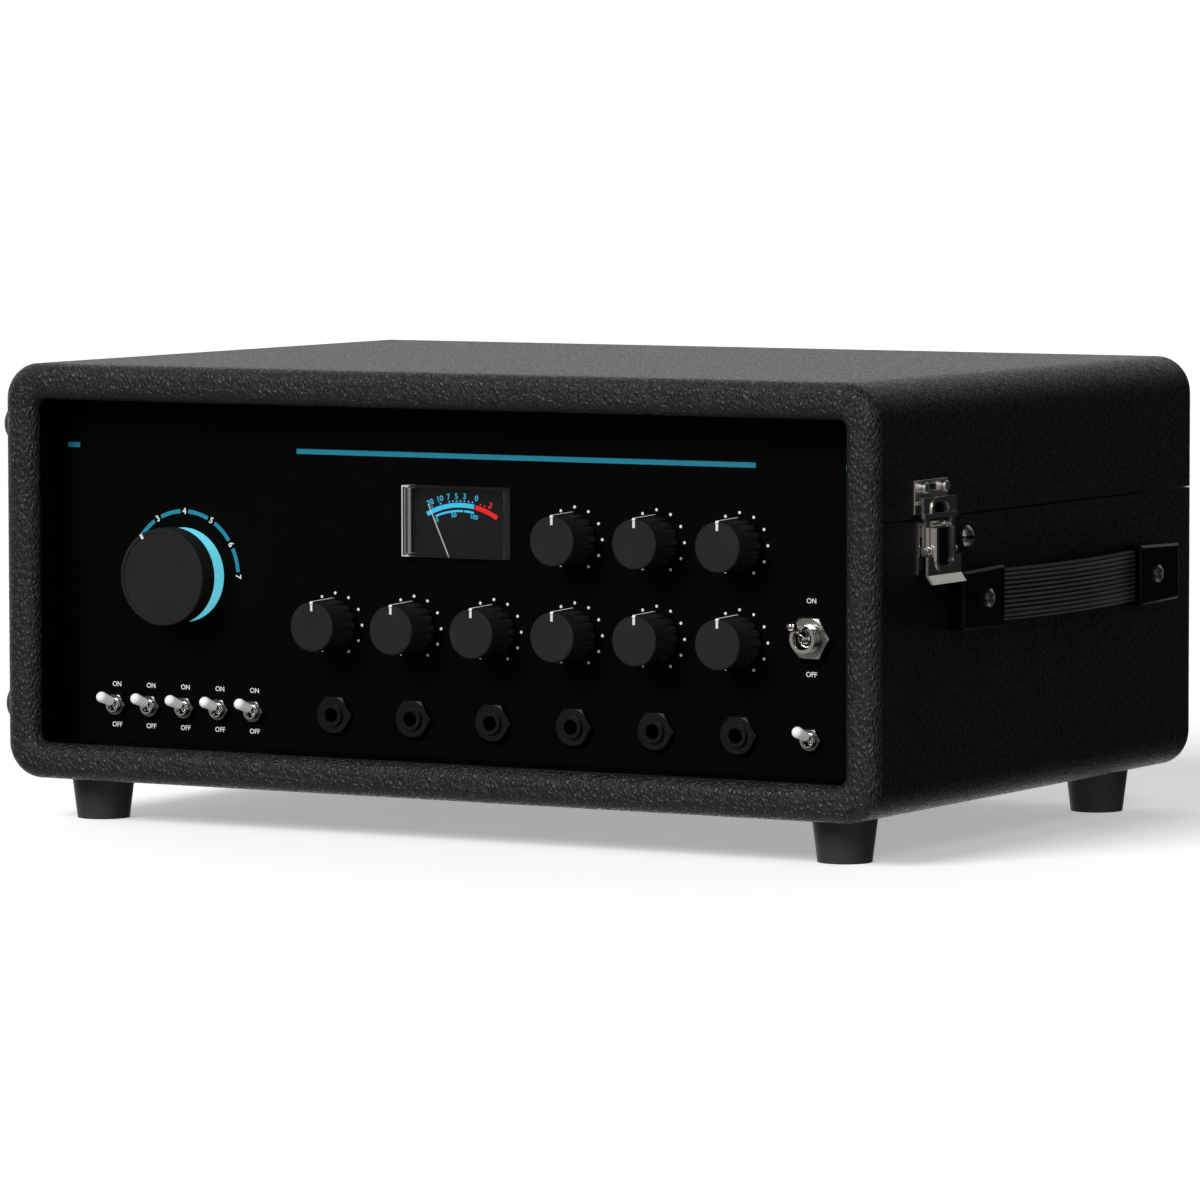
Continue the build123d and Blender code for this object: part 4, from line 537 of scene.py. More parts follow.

# %% [markdown]
# The latches are pressed from sheet. The sheet's rolled faces take a mirror plate, but its
# sheared edges stay satin. The sunken panels' floors, the slots of the screws in the case's side
# and the floors of the handle screws' crosses are painted black, as painted shade.

# %% Finish the latches and the slots
painted_shade_floors = {"latch_lever": 224.0, "latch_bail": 221.9}  # how far out each panel's floor is
for name in latches:
    dress_faces(name, satin_nickel, lambda middle, normal: abs(normal.x) < 0.5)
    for start, out in painted_shade_floors.items():
        if name.startswith(start):
            # Painted shade: the sunken floors are painted black.
            dress_faces(
                name,
                painted_shade_fill,
                lambda middle, normal: abs(abs(middle.x) - out) < 0.05 and abs(normal.x) > 0.9,
            )
dress(satin_nickel, "latch_keepers")
slot_z, slot_half, slot_reach = 134.2, 0.65, (-75.0, -60.0)
cross_floor = 226.64


def in_slot(middle, normal):
    """True in the slots of the side screws and on the floors of the handle screws' crosses."""
    out = abs(middle.x)
    single = abs(middle.z - slot_z) < slot_half and slot_reach[0] < middle.y < slot_reach[1]
    return (single and out > side_face) or (abs(out - cross_floor) < 0.03 and abs(normal.x) > 0.9)


# Painted shade: the screw slots and the floors of the crosses are painted black.
slots = dress_faces("case_screws", painted_shade_fill, in_slot)
small_nut_top = 60.0
dress_faces("toggle_nuts", small_nut_nickel, lambda middle, normal: middle.z < small_nut_top)
print("latches finished;", slots, "faces in the slots")

# %% Soft edges on the metal parts
edge_width = {
    "latch": 0.25,
    "toggle_nuts": 0.35,
    "handle_caps": 0.3,
    "jack_nuts": 0.3,
    "hinge": 0.2,
}
bevelled = []
for name, solid in solids.items():
    width = next((w for start, w in edge_width.items() if name.startswith(start)), None)
    if width:
        weld = solid.modifiers.new("weld", "WELD")
        weld.merge_threshold = 0.005 * mm
        bevel = solid.modifiers.new("edges", "BEVEL")
        bevel.width = width * mm
        bevel.segments = 2
        bevel.limit_method = "ANGLE"
        bevel.angle_limit = math.radians(35)
        bevel.harden_normals = True
        bevelled.append(name)
print("softened:", ", ".join(bevelled))

# %% [markdown]
# ## Flat printing
# The inks lie on the panel and on the dial. Each shape is drawn as a flat outline in its own
# plane, then laid on the panel as a plate a few hundredths of a millimetre thick, so it is a
# real piece that shows from any side. The panel faces the player, so a print's own X stays X
# and its own Y turns up to Z.

# %% Helpers for printing
panel_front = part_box("front_panel")[0].y
case_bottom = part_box("case_body")[0].z
facing_player = Matrix.Rotation(math.radians(90), 4, "X")
ink_thickness = 0.04 * mm


def new_object(name, data):
    """An object for a mesh, a curve, a lamp or a camera, put into the scene."""
    made = bpy.data.objects.new(name, data)
    bpy.context.scene.collection.objects.link(made)
    return made


def keep_piece(name, mesh, material, body):
    """Make an object of a finished mesh, and let it ride on a body."""
    piece = new_object(name, mesh)
    mesh.materials.clear()
    mesh.materials.append(material)
    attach(piece, body)
    return piece


def plate(outlines, thickness, place):
    """A thin closed plate from flat outlines, laid with its back on the plane of place."""
    shape = bmesh.new()
    for outline in outlines:
        corners = [shape.verts.new((x, y, 0)) for x, y in outline]
        shape.faces.new(corners)
    bmesh.ops.recalc_face_normals(shape, faces=shape.faces)
    for face in shape.faces:
        if face.normal.z < 0:
            face.normal_flip()
    grown = bmesh.ops.extrude_face_region(shape, geom=list(shape.faces), use_keep_orig=True)
    moved = [v for v in grown["geom"] if isinstance(v, bmesh.types.BMVert)]
    bmesh.ops.translate(shape, verts=moved, vec=(0, 0, thickness))
    bmesh.ops.recalc_face_normals(shape, faces=shape.faces)
    mesh = bpy.data.meshes.new("plate")
    shape.to_mesh(mesh)
    shape.free()
    mesh.transform(place)
    return mesh


def band(x, y, inner, outer, start, stop):
    """A flat piece of a ring: angles in degrees, clockwise from straight up."""
    steps = max(4, round(abs(stop - start) / 2))
    turns = [math.radians(start + (stop - start) * i / steps) for i in range(steps + 1)]
    far = [(x + outer * math.sin(a), y + outer * math.cos(a)) for a in turns]
    near = [(x + inner * math.sin(a), y + inner * math.cos(a)) for a in reversed(turns)]
    return far + near


def bar(left, right, middle, height):
    """A flat upright-edged bar."""
    return [
        (left, middle - height / 2),
        (right, middle - height / 2),
        (right, middle + height / 2),
        (left, middle + height / 2),
    ]


on_panel = Matrix.Translation((0, panel_front, 0)) @ facing_player
print("panel front at y =", round(panel_front / mm, 2), "mm")

# %% [markdown]
# ## The teal line and the scale of the mode knob
# A teal line crosses the panel near its top, broken in two places, and an arc of the same ink
# rings the mode knob from its first position to its last. The arc stops short of each numeral.

# %% Print the line and the arc
stripe_rise, stripe_height = 146.2, 2.2
stripe_z = case_bottom + stripe_rise * mm
stripes = [
    bar(left * mm, right * mm, stripe_z, stripe_height * mm)
    for left, right in ((-200.4, -194.0), (-80.9, 146.3), (189.1, 200.8))
]
mode_centre = joint_at["mode_select"]
mode_angles = [-90 + 30 * i for i in range(7)]
arc_middle, arc_width, numeral_gap = 27.8, 1.8, 4.1
arcs = [
    band(
        mode_centre.x,
        mode_centre.z,
        (arc_middle - arc_width / 2) * mm,
        (arc_middle + arc_width / 2) * mm,
        angle + numeral_gap,
        following - numeral_gap,
    )
    for angle, following in zip(mode_angles, mode_angles[1:])
]
teal_shapes = plate(stripes + arcs, ink_thickness, on_panel)
keep_piece("panel_teal_lines", teal_shapes, teal_ink, "case")
print(len(stripes), "bars and", len(arcs), "arcs in teal")

# %% [markdown]
# ## Numerals and switch words
# The seven positions of the mode knob are numbered round its arc, each numeral turned to read
# from the middle, and the switches say ON and OFF. Text objects make the letters. They are
# turned into meshes before they are laid on the panel, each as its own small solid, and the
# outline is swollen a little, because the printed face is bold.

# %% Print the numerals and words
letter_share = 0.7  # height of a capital as a share of the font's size


def letters(words, thickness, place):
    """One mesh of many short words: each is text, x, y, capital height, turn and boldness."""
    joined = bmesh.new()
    for text, x, y, height, turn, bold in words:
        curve = bpy.data.curves.new("word", "FONT")
        curve.body = text
        curve.align_x = curve.align_y = "CENTER"
        curve.size = height / letter_share
        curve.offset = bold * curve.size
        curve.extrude = thickness / 2
        curve.resolution_u = 4
        word = new_object("word", curve)
        bpy.context.view_layer.update()
        depsgraph = bpy.context.evaluated_depsgraph_get()
        mesh = bpy.data.meshes.new_from_object(word.evaluated_get(depsgraph))
        mesh.transform(
            place
            @ Matrix.Translation((x, y, thickness / 2))
            @ Matrix.Rotation(-math.radians(turn), 4, "Z")
        )
        joined.from_mesh(mesh)
        bpy.data.meshes.remove(mesh)
        bpy.data.objects.remove(word)
        bpy.data.curves.remove(curve)
    bmesh.ops.remove_doubles(joined, verts=joined.verts, dist=0.0005 * mm)
    mesh = bpy.data.meshes.new("words")
    joined.to_mesh(mesh)
    joined.free()
    return mesh


numeral_height, word_height = 2.7 * mm, 2.1 * mm
words = [
    (
        str(i + 1),
        mode_centre.x + arc_middle * mm * math.sin(math.radians(angle)),
        mode_centre.z + arc_middle * mm * math.cos(math.radians(angle)),
        numeral_height,
        angle,
        0.018,
    )
    for i, angle in enumerate(mode_angles)
]
switch_words = {"direct": 9.0, "motor": 9.0, "hold": 9.0, "echo": 9.0, "chorus": 9.0, "power": 15.5}
for name, reach in switch_words.items():
    centre = joint_at[name + "_toggle"]
    words.append(("ON", centre.x, centre.z + reach * mm, word_height, 0, 0.014))
    words.append(("OFF", centre.x, centre.z - (reach - 0.1) * mm, word_height, 0, 0.014))
white_words = letters(words, ink_thickness, on_panel)
keep_piece("panel_white_words", white_words, white_ink, "case")
print(len(words), "words,", len(white_words.polygons), "faces")

# %% [markdown]
# ## Dots round the knobs
# Eleven dots mark the travel of each small knob, one every 30 degrees. A geometry tree sets
# them: from one point at each knob's centre it makes a ring of dots, so the number of dots,
# their spacing and their size are inputs, and nine knobs cost no more work than one.


# %% Helpers for geometry trees
def start_tree(name, *sockets):
    """A geometry tree with named inputs: each is a name, a socket type and a default."""
    tree = bpy.data.node_groups.new(name, "GeometryNodeTree")
    tree.interface.new_socket("Geometry", in_out="INPUT", socket_type="NodeSocketGeometry")
    for label, kind, default in sockets:
        socket = tree.interface.new_socket(label, in_out="INPUT", socket_type="NodeSocket" + kind)
        if default is not None:
            socket.default_value = default
    tree.interface.new_socket("Geometry", in_out="OUTPUT", socket_type="NodeSocketGeometry")
    return tree, tree.nodes.new("NodeGroupInput").outputs


def end_tree(tree, geometry, material):
    """Finish a tree: make instances real, set the material and send the result out."""
    real = add(tree, "GeometryNodeRealizeInstances", {"Geometry": geometry})
    inputs = {"Geometry": real.outputs[0], "Material": material}
    painted = add(tree, "GeometryNodeSetMaterial", inputs)
    add(tree, "NodeGroupOutput", {0: painted.outputs[0]})


def copies_on(tree, points, thing, **more):
    """Set a copy of a thing on each point, and return the copies' socket."""
    inputs = {"Points": points, "Instance": thing, **more}
    return add(tree, "GeometryNodeInstanceOnPoints", inputs).outputs[0]


def grow(name, tree, points, body, slot, **values):
    """Run a tree on bare points, keep the result as a plain mesh, and let it ride on a body."""
    seed = bpy.data.meshes.new(name + "_points")
    seed.from_pydata([tuple(p) for p in points], [], [])
    piece = new_object(name, seed)
    modifier = piece.modifiers.new("grow", "NODES")
    modifier.node_group = tree
    for socket in tree.interface.items_tree:
        if socket.item_type == "SOCKET" and socket.in_out == "INPUT" and socket.name in values:
            modifier[socket.identifier] = values[socket.name]
    bpy.context.view_layer.update()
    evaluated = piece.evaluated_get(bpy.context.evaluated_depsgraph_get())
    mesh = bpy.data.meshes.new_from_object(evaluated)
    finish = mesh.materials[-1]
    mesh.materials.clear()
    mesh.materials.append(finish)
    mesh.polygons.foreach_set("material_index", [0] * len(mesh.polygons))
    piece.modifiers.clear()
    piece.data = mesh
    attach(piece, body)
    return piece


# %% Grow the dots
tree, given = start_tree(
    "ring_of_dots",
    ("Dots", "Int", 11),
    ("First Angle", "Float", math.radians(-150)),
    ("Step", "Float", math.radians(30)),
    ("Ring Radius", "Float", 13.53 * mm),
    ("Dot Radius", "Float", 0.65 * mm),
    ("Thickness", "Float", ink_thickness),
    ("Ink", "Material", None),
)
number = add(tree, "GeometryNodeInputIndex")
angle = maths(tree, "MULTIPLY_ADD", number.outputs[0], given["Step"], given["First Angle"])
across = maths(tree, "SINE", angle)
upward = maths(tree, "COSINE", angle)
direction = add(tree, "ShaderNodeCombineXYZ", {"X": across, "Z": upward})
offset = add(
    tree,
    "ShaderNodeVectorMath",
    {0: direction.outputs[0], "Scale": given["Ring Radius"]},
    operation="SCALE",
)
dot_places = add(
    tree,
    "GeometryNodePoints",
    {"Count": given["Dots"], "Position": offset.outputs[0]},
)
dot = add(
    tree,
    "GeometryNodeMeshCylinder",
    {"Vertices": 16, "Radius": given["Dot Radius"], "Depth": given["Thickness"]},
)
turned_dot = add(
    tree,
    "GeometryNodeTransform",
    {"Geometry": dot.outputs[0], "Rotation": (math.radians(90), 0, 0)},
)
ring = copies_on(tree, dot_places.outputs[0], turned_dot.outputs[0])
end_tree(tree, copies_on(tree, given["Geometry"], ring), given["Ink"])
half_ink = Vector((0, ink_thickness / 2, 0))
knob_centres = [joint_at[n.replace("_knob", "_turn")] - half_ink for n in knobs]
dots = grow("panel_white_dots", tree, knob_centres, "case", "toggle_cap", Ink=white_ink)
print(len(dots.data.polygons), "faces of dots, material", dots.data.materials[0].name)

# %% [markdown]
# ## Pointer lines
# Each small knob's pointer is a groove in its face that goes on as a raised line down its side.
# White lacquer fills the groove's floor and covers the line's top, so those faces of the knob
# take the white ink. The mode knob has a short sunk mark in its rim instead, and its lacquer is
# a small plate of its own that lies just under the plastic round it.

# %% Paint the pointers
line_half, line_start = 0.7, 10.25
groove_depth, groove_end = 0.4, 6.9


def white_faces(name):
    """Paint one knob's groove and raised line, and return how many faces they are."""
    centre = joint_at[name.replace("_knob", "_turn")] / mm
    face_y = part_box(name)[0].y / mm

    def on_pointer(middle, normal):
        out = middle.z - centre.z
        raised = normal.z > 0.2 and out > line_start
        sunk = normal.y < -0.5 and middle.y > face_y + groove_depth / 2 and out > groove_end
        return abs(middle.x - centre.x) < line_half and (raised or sunk)

    return dress_faces(name, white_ink, on_pointer)


print("white faces on each knob:", [white_faces(n) for n in knobs])

# %% Fill the mark
groove_width = 1.3 * mm
lacquer_width = groove_width - 0.1 * mm
mark_angle, mark_length, mode_radius = -30.0, 2.4, 21.3
mode_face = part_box("mode_knob")[0].y + (groove_depth - 0.05) * mm
mark_middle = (mode_radius - mark_length / 2) * mm
mark = plate(
    [bar(-lacquer_width / 2, lacquer_width / 2, mark_middle, (mark_length - 0.1) * mm)],
    (groove_depth - 0.1) * mm,
    Matrix.Translation((mode_centre.x, mode_face, mode_centre.z))
    @ facing_player
    @ Matrix.Rotation(-math.radians(mark_angle), 4, "Z"),
)
keep_piece("mode_pointer", mark, white_ink, "mode_knob")
print("the mark is", round(lacquer_width / mm, 2), "mm wide")

# %% [markdown]
# ## The meter's dial
# A level meter reads in decibels below and above full level, on an arc that is light blue up to
# zero and red beyond it, with a thinner percentage scale inside. All of it is centred on the
# needle's pivot, so angles and radii are enough to place it.

# %% Print the dial
pivot = joint_at["needle_swing"]
dial_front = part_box("meter_dial")[0].y
on_dial = Matrix.Translation((0, dial_front, 0)) @ facing_player


def around(angle, radius):
    """A point of the dial at an angle from straight up, clockwise, and a radius in mm."""
    turn = math.radians(angle)
    return pivot.x + radius * mm * math.sin(turn), pivot.z + radius * mm * math.cos(turn)


def ticks(*angles):
    """Short marks just outside the arc."""
    return [band(pivot.x, pivot.z, 36.85 * mm, 37.55 * mm, a - 0.55, a + 0.55) for a in angles]


blue_shapes = [
    band(pivot.x, pivot.z, 34.4 * mm, 36.4 * mm, -28.6, 10.7),
    band(pivot.x, pivot.z, 32.4 * mm, 33.3 * mm, -22.8, 1.9),
    band(pivot.x, pivot.z, 32.4 * mm, 33.3 * mm, 3.0, 11.3),
]
blue_shapes += ticks(-23.0, -15.9, -9.1, -6.2, -3.3, -0.3, 2.7, 6.0, 9.0)
red_shapes = [band(pivot.x, pivot.z, 34.3 * mm, 36.3 * mm, 11.7, 30.8), *ticks(15.3, 18.6)]
blue_scale = plate(blue_shapes, ink_thickness, on_dial)
red_scale = plate(red_shapes, ink_thickness, on_dial)
keep_piece("dial_blue_scale", blue_scale, dial_blue, "case")
keep_piece("dial_red_scale", red_scale, dial_red, "case")
decibels = {"20": -23.0, "10": -15.6, "7": -9.2, "5": -3.3, "3": 2.7, "0": 11.4}
per_cent = {"0": -22.6, "50": -6.6, "100": 12.0}
blue_words = [(t, *around(a, 39.2), 2.4 * mm, a, 0.015) for t, a in decibels.items()]
blue_words += [(t, *around(a, 31.1), 1.9 * mm, a, 0.015) for t, a in per_cent.items()]
red_words = [("3", *around(22.4, 38.4), 2.6 * mm, 22.4, 0.025)]
for colour_name, words_of_dial, dial_ink in (
    ("blue", blue_words, dial_blue),
    ("red", red_words, dial_red),
):
    numerals = letters(words_of_dial, ink_thickness, on_dial)
    keep_piece(f"dial_{colour_name}_numerals", numerals, dial_ink, "case")
print("dial printed", round((dial_front - panel_front) / mm, 2), "mm behind the panel's front")

# %% [markdown]
# ## Threads
# The bushings of the switches and sockets are threaded for their nuts, and a few turns show in
# front of each nut. A fine thread reads as a stack of thin rings, so a tree sets rings at the
# thread's pitch along each bushing, ahead of its nut.

# %% Grow the threads
tree, given = start_tree(
    "rings_of_a_thread",
    ("Turns", "Int", 3),
    ("Pitch", "Float", 0.75 * mm),
    ("Radius", "Float", 3.1 * mm),
    ("Ridge", "Float", 0.16 * mm),
    ("Finish", "Material", None),
)
circle, profile = (
    add(tree, "GeometryNodeCurvePrimitiveCircle", {"Resolution": sides, "Radius": radius})
    for sides, radius in ((28, given["Radius"]), (6, given["Ridge"]))
)
ridge = add(
    tree,
    "GeometryNodeCurveToMesh",
    {"Curve": circle.outputs[0], "Profile Curve": profile.outputs[0]},
)
upright = add(
    tree,
    "GeometryNodeTransform",
    {"Geometry": ridge.outputs[0], "Rotation": (math.radians(90), 0, 0)},
)
number = add(tree, "GeometryNodeInputIndex")
ahead = maths(tree, "MULTIPLY", number.outputs[0], given["Pitch"])
place = add(tree, "ShaderNodeCombineXYZ", {"Y": maths(tree, "MULTIPLY", ahead, -1.0)})
turns = add(tree, "GeometryNodePoints", {"Count": given["Turns"], "Position": place.outputs[0]})
stack = copies_on(tree, turns.outputs[0], upright.outputs[0])
end_tree(tree, copies_on(tree, given["Geometry"], stack), given["Finish"])


def ahead_of_panel(point, distance):
    """The same X and Z, a distance in mm ahead of the panel."""
    return (point.x, panel_front - distance * mm, point.z)


minis = [joint_at[n.removesuffix("_lever")] for n in mini_levers]
power = joint_at["power_toggle"]
sockets = [Vector(m["pos_m"]) for m in frame["record"]["mounts"] if m["name"].startswith("jack")]
for name, middles, start, slot, finish, turns, pitch, radius, ridge in (
    ("mini_switch_threads", minis, 2.7, "nickel", nickel, 3, 0.6, 3.1, 0.14),
    ("power_switch_threads", [power], 3.7, "nickel", nickel, 6, 0.8, 5.9, 0.2),
    ("socket_threads", sockets, 2.95, "jack_plastic", socket_black, 2, 0.6, 4.9, 0.15),
):
    points = [ahead_of_panel(p, start) for p in middles]
    sizes = {"Pitch": pitch * mm, "Radius": radius * mm, "Ridge": ridge * mm}
    threads = grow(name, tree, points, "case", slot, Turns=turns, Finish=finish, **sizes)
    print(name.replace("_", " ") + ":", len(threads.data.polygons), "faces")

# %% [markdown]
# ## Screws of the deck, the rear panel and the hinges
# Pan-head screws with a cross recess hold the deck plate to the chassis, the rear panel in its
# opening and the hinges to the wood. One head is made as a small lathe shape with the recess
# cut out of it. A tree sets copies of it on points, turned to face the way it is told. The
# screws in the upper leaves ride on the lid.


# %% Make one screw head
def screw_head(radius, height):
    """A domed head with a cross recess, facing +Z, with its seat on the origin."""
    shape = bmesh.new()
    steps = 5
    outline = [(radius, 0.0), (radius, height * 0.35)]
    outline += [
        (radius * math.cos(math.radians(a)), height * (0.35 + 0.65 * math.sin(math.radians(a))))
        for a in (90 * (i + 1) / steps for i in range(steps - 1))
    ]
    rows = []
    sides = 24
    for r, z in outline:
        turns = [math.tau * i / sides for i in range(sides)]
        rows.append([shape.verts.new((r * math.cos(t), r * math.sin(t), z)) for t in turns])
    for low, high in zip(rows, rows[1:]):
        for i in range(sides):
            shape.faces.new((low[i], low[(i + 1) % sides], high[(i + 1) % sides], high[i]))
    top = shape.verts.new((0, 0, height))
    for i in range(sides):
        shape.faces.new((rows[-1][i], rows[-1][(i + 1) % sides], top))
    shape.faces.new(list(reversed(rows[0])))
    bmesh.ops.recalc_face_normals(shape, faces=shape.faces)
    mesh = bpy.data.meshes.new("screw_head")
    shape.to_mesh(mesh)
    shape.free()
    head = new_object("screw_head", mesh)
    arm, slot = radius * 0.55, radius * 0.13
    cross = bmesh.new()
    corners = [
        (slot, slot), (arm, slot), (arm, -slot), (slot, -slot), (slot, -arm), (-slot, -arm),
        (-slot, -slot), (-arm, -slot), (-arm, slot), (-slot, slot), (-slot, arm), (slot, arm),
    ]
    lower = [cross.verts.new((x, y, height * 0.45)) for x, y in corners]
    upper = [cross.verts.new((x, y, height * 1.5)) for x, y in corners]
    cross.faces.new(lower)
    cross.faces.new(upper)
    for i in range(len(corners)):
        following = (i + 1) % len(corners)
        cross.faces.new((lower[i], lower[following], upper[following], upper[i]))
    bmesh.ops.recalc_face_normals(cross, faces=cross.faces)
    cutter_mesh = bpy.data.meshes.new("cross")
    cross.to_mesh(cutter_mesh)
    cross.free()
    cutter = new_object("cross", cutter_mesh)
    cut = head.modifiers.new("recess", "BOOLEAN")
    cut.operation = "DIFFERENCE"
    cut.solver = "EXACT"
    cut.object = cutter
    bpy.context.view_layer.update()
    depsgraph = bpy.context.evaluated_depsgraph_get()
    done = bpy.data.meshes.new_from_object(head.evaluated_get(depsgraph))
    head.modifiers.clear()
    head.data = done
    bpy.data.objects.remove(cutter)
    return head


head = screw_head(2.6 * mm, 1.5 * mm)
print("one head has", len(head.data.polygons), "faces")

# %% Set the screws
tree, given = start_tree(
    "screws_on_points",
    ("Head", "Object", None),
    ("Facing", "Rotation", None),
    ("Finish", "Material", None),
    ("Seed", "Int", 7),
)
model = add(tree, "GeometryNodeObjectInfo", {"Object": given["Head"]})
spin = add(
    tree,
    "FunctionNodeRandomValue",
    {"Min": (0, 0, 0), "Max": (0, 0, math.tau), "Seed": given["Seed"]},
    data_type="FLOAT_VECTOR",
)
turned = add(tree, "FunctionNodeEulerToRotation", {0: spin.outputs[0]})
facing = add(
    tree,
    "FunctionNodeRotateRotation",
    {"Rotation": given["Facing"], "Rotate By": turned.outputs[0]},
    rotation_space="LOCAL",
)
heads = copies_on(
    tree, given["Geometry"], model.outputs["Geometry"], Rotation=facing.outputs[0]
)
end_tree(tree, heads, given["Finish"])
deck_low, deck_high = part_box("deck_plate")
deck_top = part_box("tape_tank")[0].z
edge = 6 * mm
deck_points = [
    (x, y, deck_top)
    for x in (deck_low.x + edge, -70 * mm, 60 * mm, deck_high.x - edge)
    for y in (deck_low.y + edge, deck_high.y - edge / 2)
    if abs(x) > 100 * mm or y < 0
]
back_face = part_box("chassis")[1].y
rear_points = [
    (x * mm, back_face, case_bottom + rise * mm) for x in (-178, -60, 60, 178) for rise in (33, 97)
]
leaf_sheet, leaf_margin = 1.5 * mm, 9 * mm  # the margin is from a leaf's outer end
leaf_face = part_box("case_body")[1].y + leaf_sheet
leaf_middles = {
    "hinge_case_leaves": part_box("hinge_case_leaves")[0].z + leaf_margin,
    "hinge_lid_leaves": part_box("hinge_lid_leaves")[1].z - leaf_margin,
}
leaf_points = {
    leaf: [(x * mm, leaf_face, middle) for x in (-144, -120, -96, 96, 120, 144)]
    for leaf, middle in leaf_middles.items()
}
upwards, backwards = (0, 0, 0), (math.radians(-90), 0, 0)
for name, points, body, finish, facing in (
    ("deck_screws", deck_points, "case", nickel, upwards),
    ("rear_panel_screws", rear_points, "case", nickel, backwards),
    ("hinge_case_leaves_screws", leaf_points["hinge_case_leaves"], "case", hinge_nickel, backwards),
    ("hinge_lid_leaves_screws", leaf_points["hinge_lid_leaves"], "lid", hinge_nickel, backwards),
):
    grow(name, tree, points, body, "nickel", Head=head, Finish=finish, Facing=facing)
    print(name.replace("_", " ") + ":", len(points))
bpy.data.objects.remove(head)

# %% [markdown]
# ## Knurled thumbscrews
# The tape tank's cover comes off without a tool, so its four screws have straight knurls. The
# solids are plain cylinders. A tree rings each with upright ridges.

# %% Grow the knurls
tree, given = start_tree(
    "knurl_on_points",
    ("Ridges", "Int", 30),
    ("Radius", "Float", 5.0 * mm),
    ("Height", "Float", 4.2 * mm),
    ("Ridge", "Float", 0.35 * mm),
    ("Finish", "Material", None),
)
circle = add(
    tree,
    "GeometryNodeMeshCircle",
    {"Vertices": given["Ridges"], "Radius": given["Radius"]},
)
ridge = add(
    tree,
    "GeometryNodeMeshCylinder",
    {"Vertices": 6, "Radius": given["Ridge"], "Depth": given["Height"]},
)
ringed = copies_on(tree, circle.outputs[0], ridge.outputs[0])
end_tree(tree, copies_on(tree, given["Geometry"], ringed), given["Finish"])
ear_margin, ear_reach, knurl_rise = 9 * mm, 40 * mm, 2.5 * mm
cover_start, cover_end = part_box("tank_cover")
knurl_z = cover_end.z + knurl_rise
ear_x = (cover_start.x + ear_margin, cover_end.x - ear_margin)
tank_y = (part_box("tape_tank")[0].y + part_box("tape_tank")[1].y) / 2
ear_points = [(x, tank_y + side * ear_reach, knurl_z) for x in ear_x for side in (-1, 1)]
knurls = grow("thumbscrew_knurls", tree, ear_points, "case", "nickel", Finish=nickel)
print(len(knurls.data.polygons), "faces of knurl")

# %% [markdown]
# ## Floor, light and camera
# The floor is pale and plain. It is left out of reflections and of bounced light, so that a
# black case keeps its depth, as it does in a studio with black flags round it. A broad sun
# from the front is the key light. The sky is nearly dark but for a few soft patches, which
# stand for cards of white paper: each is there for what it does in the finish it lights.

# %% Set the floor
bpy.context.scene.view_settings.view_transform = "Standard"
reach = 40.0
floor_mesh = bpy.data.meshes.new("floor")
corners = [(-reach, -reach, 0), (reach, -reach, 0), (reach, reach, 0), (-reach, reach, 0)]
floor_mesh.from_pydata(corners, [], [(0, 1, 2, 3)])
floor = new_object("floor", floor_mesh)
floor_mesh.materials.append(
    moulded("floor_pale_paper", "f2f2f2", "f8f8f8", 0.9, 0.0, 4.0, 0.0, glow=0.42)
)
floor.visible_glossy = False
floor.visible_diffuse = False

# %% Light the scene
world = bpy.data.worlds.new("studio")
bpy.context.scene.world = world
world.use_nodes = True
tree = world.node_tree
tree.nodes.clear()
heading = add(tree, "ShaderNodeTexCoord")


def card(direction, faint, full, level):
    """A soft patch of sky: it starts faint degrees from a direction and is full within full."""
    along = add(
        tree,
        "ShaderNodeVectorMath",
        {0: heading.outputs["Generated"], 1: Vector(direction).normalized()},
        operation="DOT_PRODUCT",
    )
    fade = share(
        tree,
        along.outputs["Value"],
        math.cos(math.radians(faint)),
        math.cos(math.radians(full)),
    )
    return maths(tree, "MULTIPLY", fade, level)


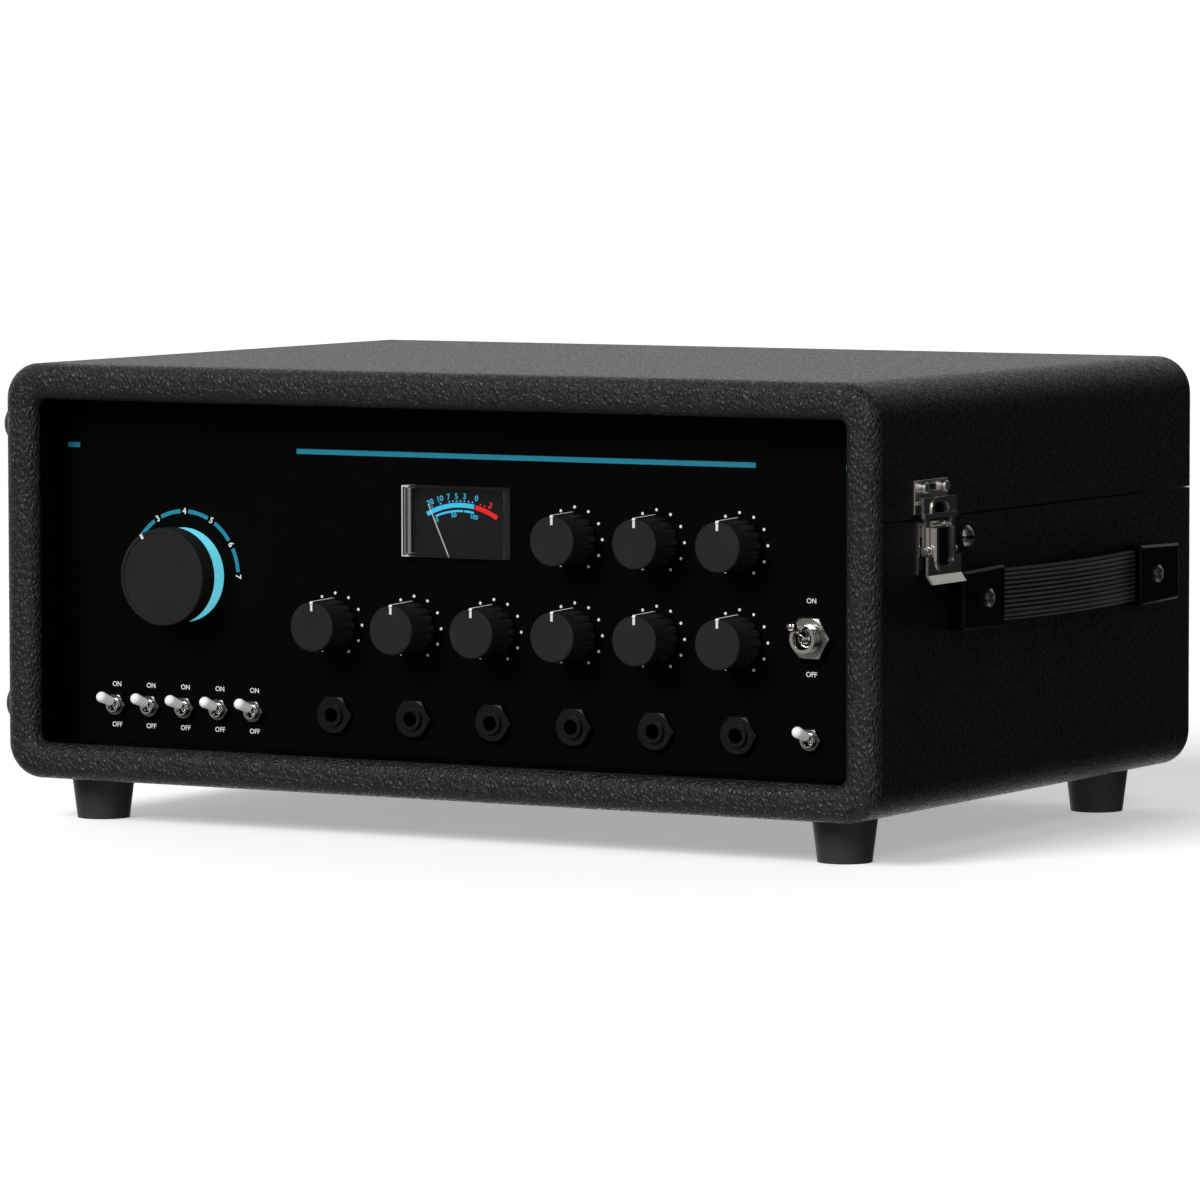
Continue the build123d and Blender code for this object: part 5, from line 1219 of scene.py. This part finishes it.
sky = 0.018
for patch in (
    ((-0.72, 0.68, 0.12), 60, 22, 1.4),  # behind on the left: the sheen along the top
    ((0.0, 0.0, -1.0), 60, 30, 0.75),  # the pale floor, for edges that face down
    ((-0.5, -0.86, 0.0), 24, 10, 0.3),  # ahead on the left: metal that faces the player
    ((0.75, -0.6, 0.1), 30, 12, 0.8),  # ahead on the right: upright metal edges
    ((0.1, -1.0, 0.1), 26, 10, 0.25),  # straight ahead: sheared edges and rivet heads
    ((0.08, 0.82, 0.57), 24, 12, 0.4),  # high up behind: the crowns of metal edges
    ((-0.55, 0.78, -0.36), 28, 12, 1.2),  # low down behind: the grain of the back
):
    sky = maths(tree, "ADD", sky, card(*patch))
seen = add(tree, "ShaderNodeLightPath")
level = between(tree, seen.outputs["Is Camera Ray"], sky, 1.1, "FLOAT")
background = add(tree, "ShaderNodeBackground", {"Color": (1, 1, 1, 1), "Strength": level})
add(tree, "ShaderNodeOutputWorld", {"Surface": background.outputs[0]})


def light(name, kind, energy, place, target, **settings):
    """A lamp at a place, aimed at a target."""
    lamp = bpy.data.lights.new(name, kind)
    lamp.energy = energy
    for key, value in settings.items():
        setattr(lamp, key, value)
    holder = new_object(name, lamp)
    holder.location = place
    holder.rotation_euler = (Vector(target) - Vector(place)).to_track_quat("-Z", "Y").to_euler()
    return holder


middle = (cad_box[0] + cad_box[1]) / 2
light("key_sun", "SUN", 2.7, (-0.5, -2.2, 1.6), middle, angle=math.radians(28))
light("side_card", "AREA", 6.0, (1.6, -0.9, 1.5), middle, size=0.7)

# %% [markdown]
# The camera stands 3.2 m away with a long lens, a little above the case and to its right, so
# that the panel and the right side both show with little perspective.

# %% Set the camera
camera_data = bpy.data.cameras.new("camera")
camera = new_object("camera", camera_data)
azimuth, elevation, roll = math.radians(29.924), math.radians(4.275), math.radians(-0.091)
ahead = Vector(
    (
        -math.sin(azimuth) * math.cos(elevation),
        math.cos(azimuth) * math.cos(elevation),
        -math.sin(elevation),
    )
)
camera.location = (1.6211, -2.8178, 0.3382)
level_turn = ahead.to_track_quat("-Z", "Y")
camera.rotation_mode = "QUATERNION"
camera.rotation_quaternion = level_turn @ Matrix.Rotation(roll, 3, "Z").to_quaternion()
camera_data.sensor_width = 36.0
camera_data.lens = 220.26
camera_data.clip_end = 100.0
bpy.context.scene.camera = camera
print("camera", round((camera.location - middle).length, 2), "m from the middle of the case")
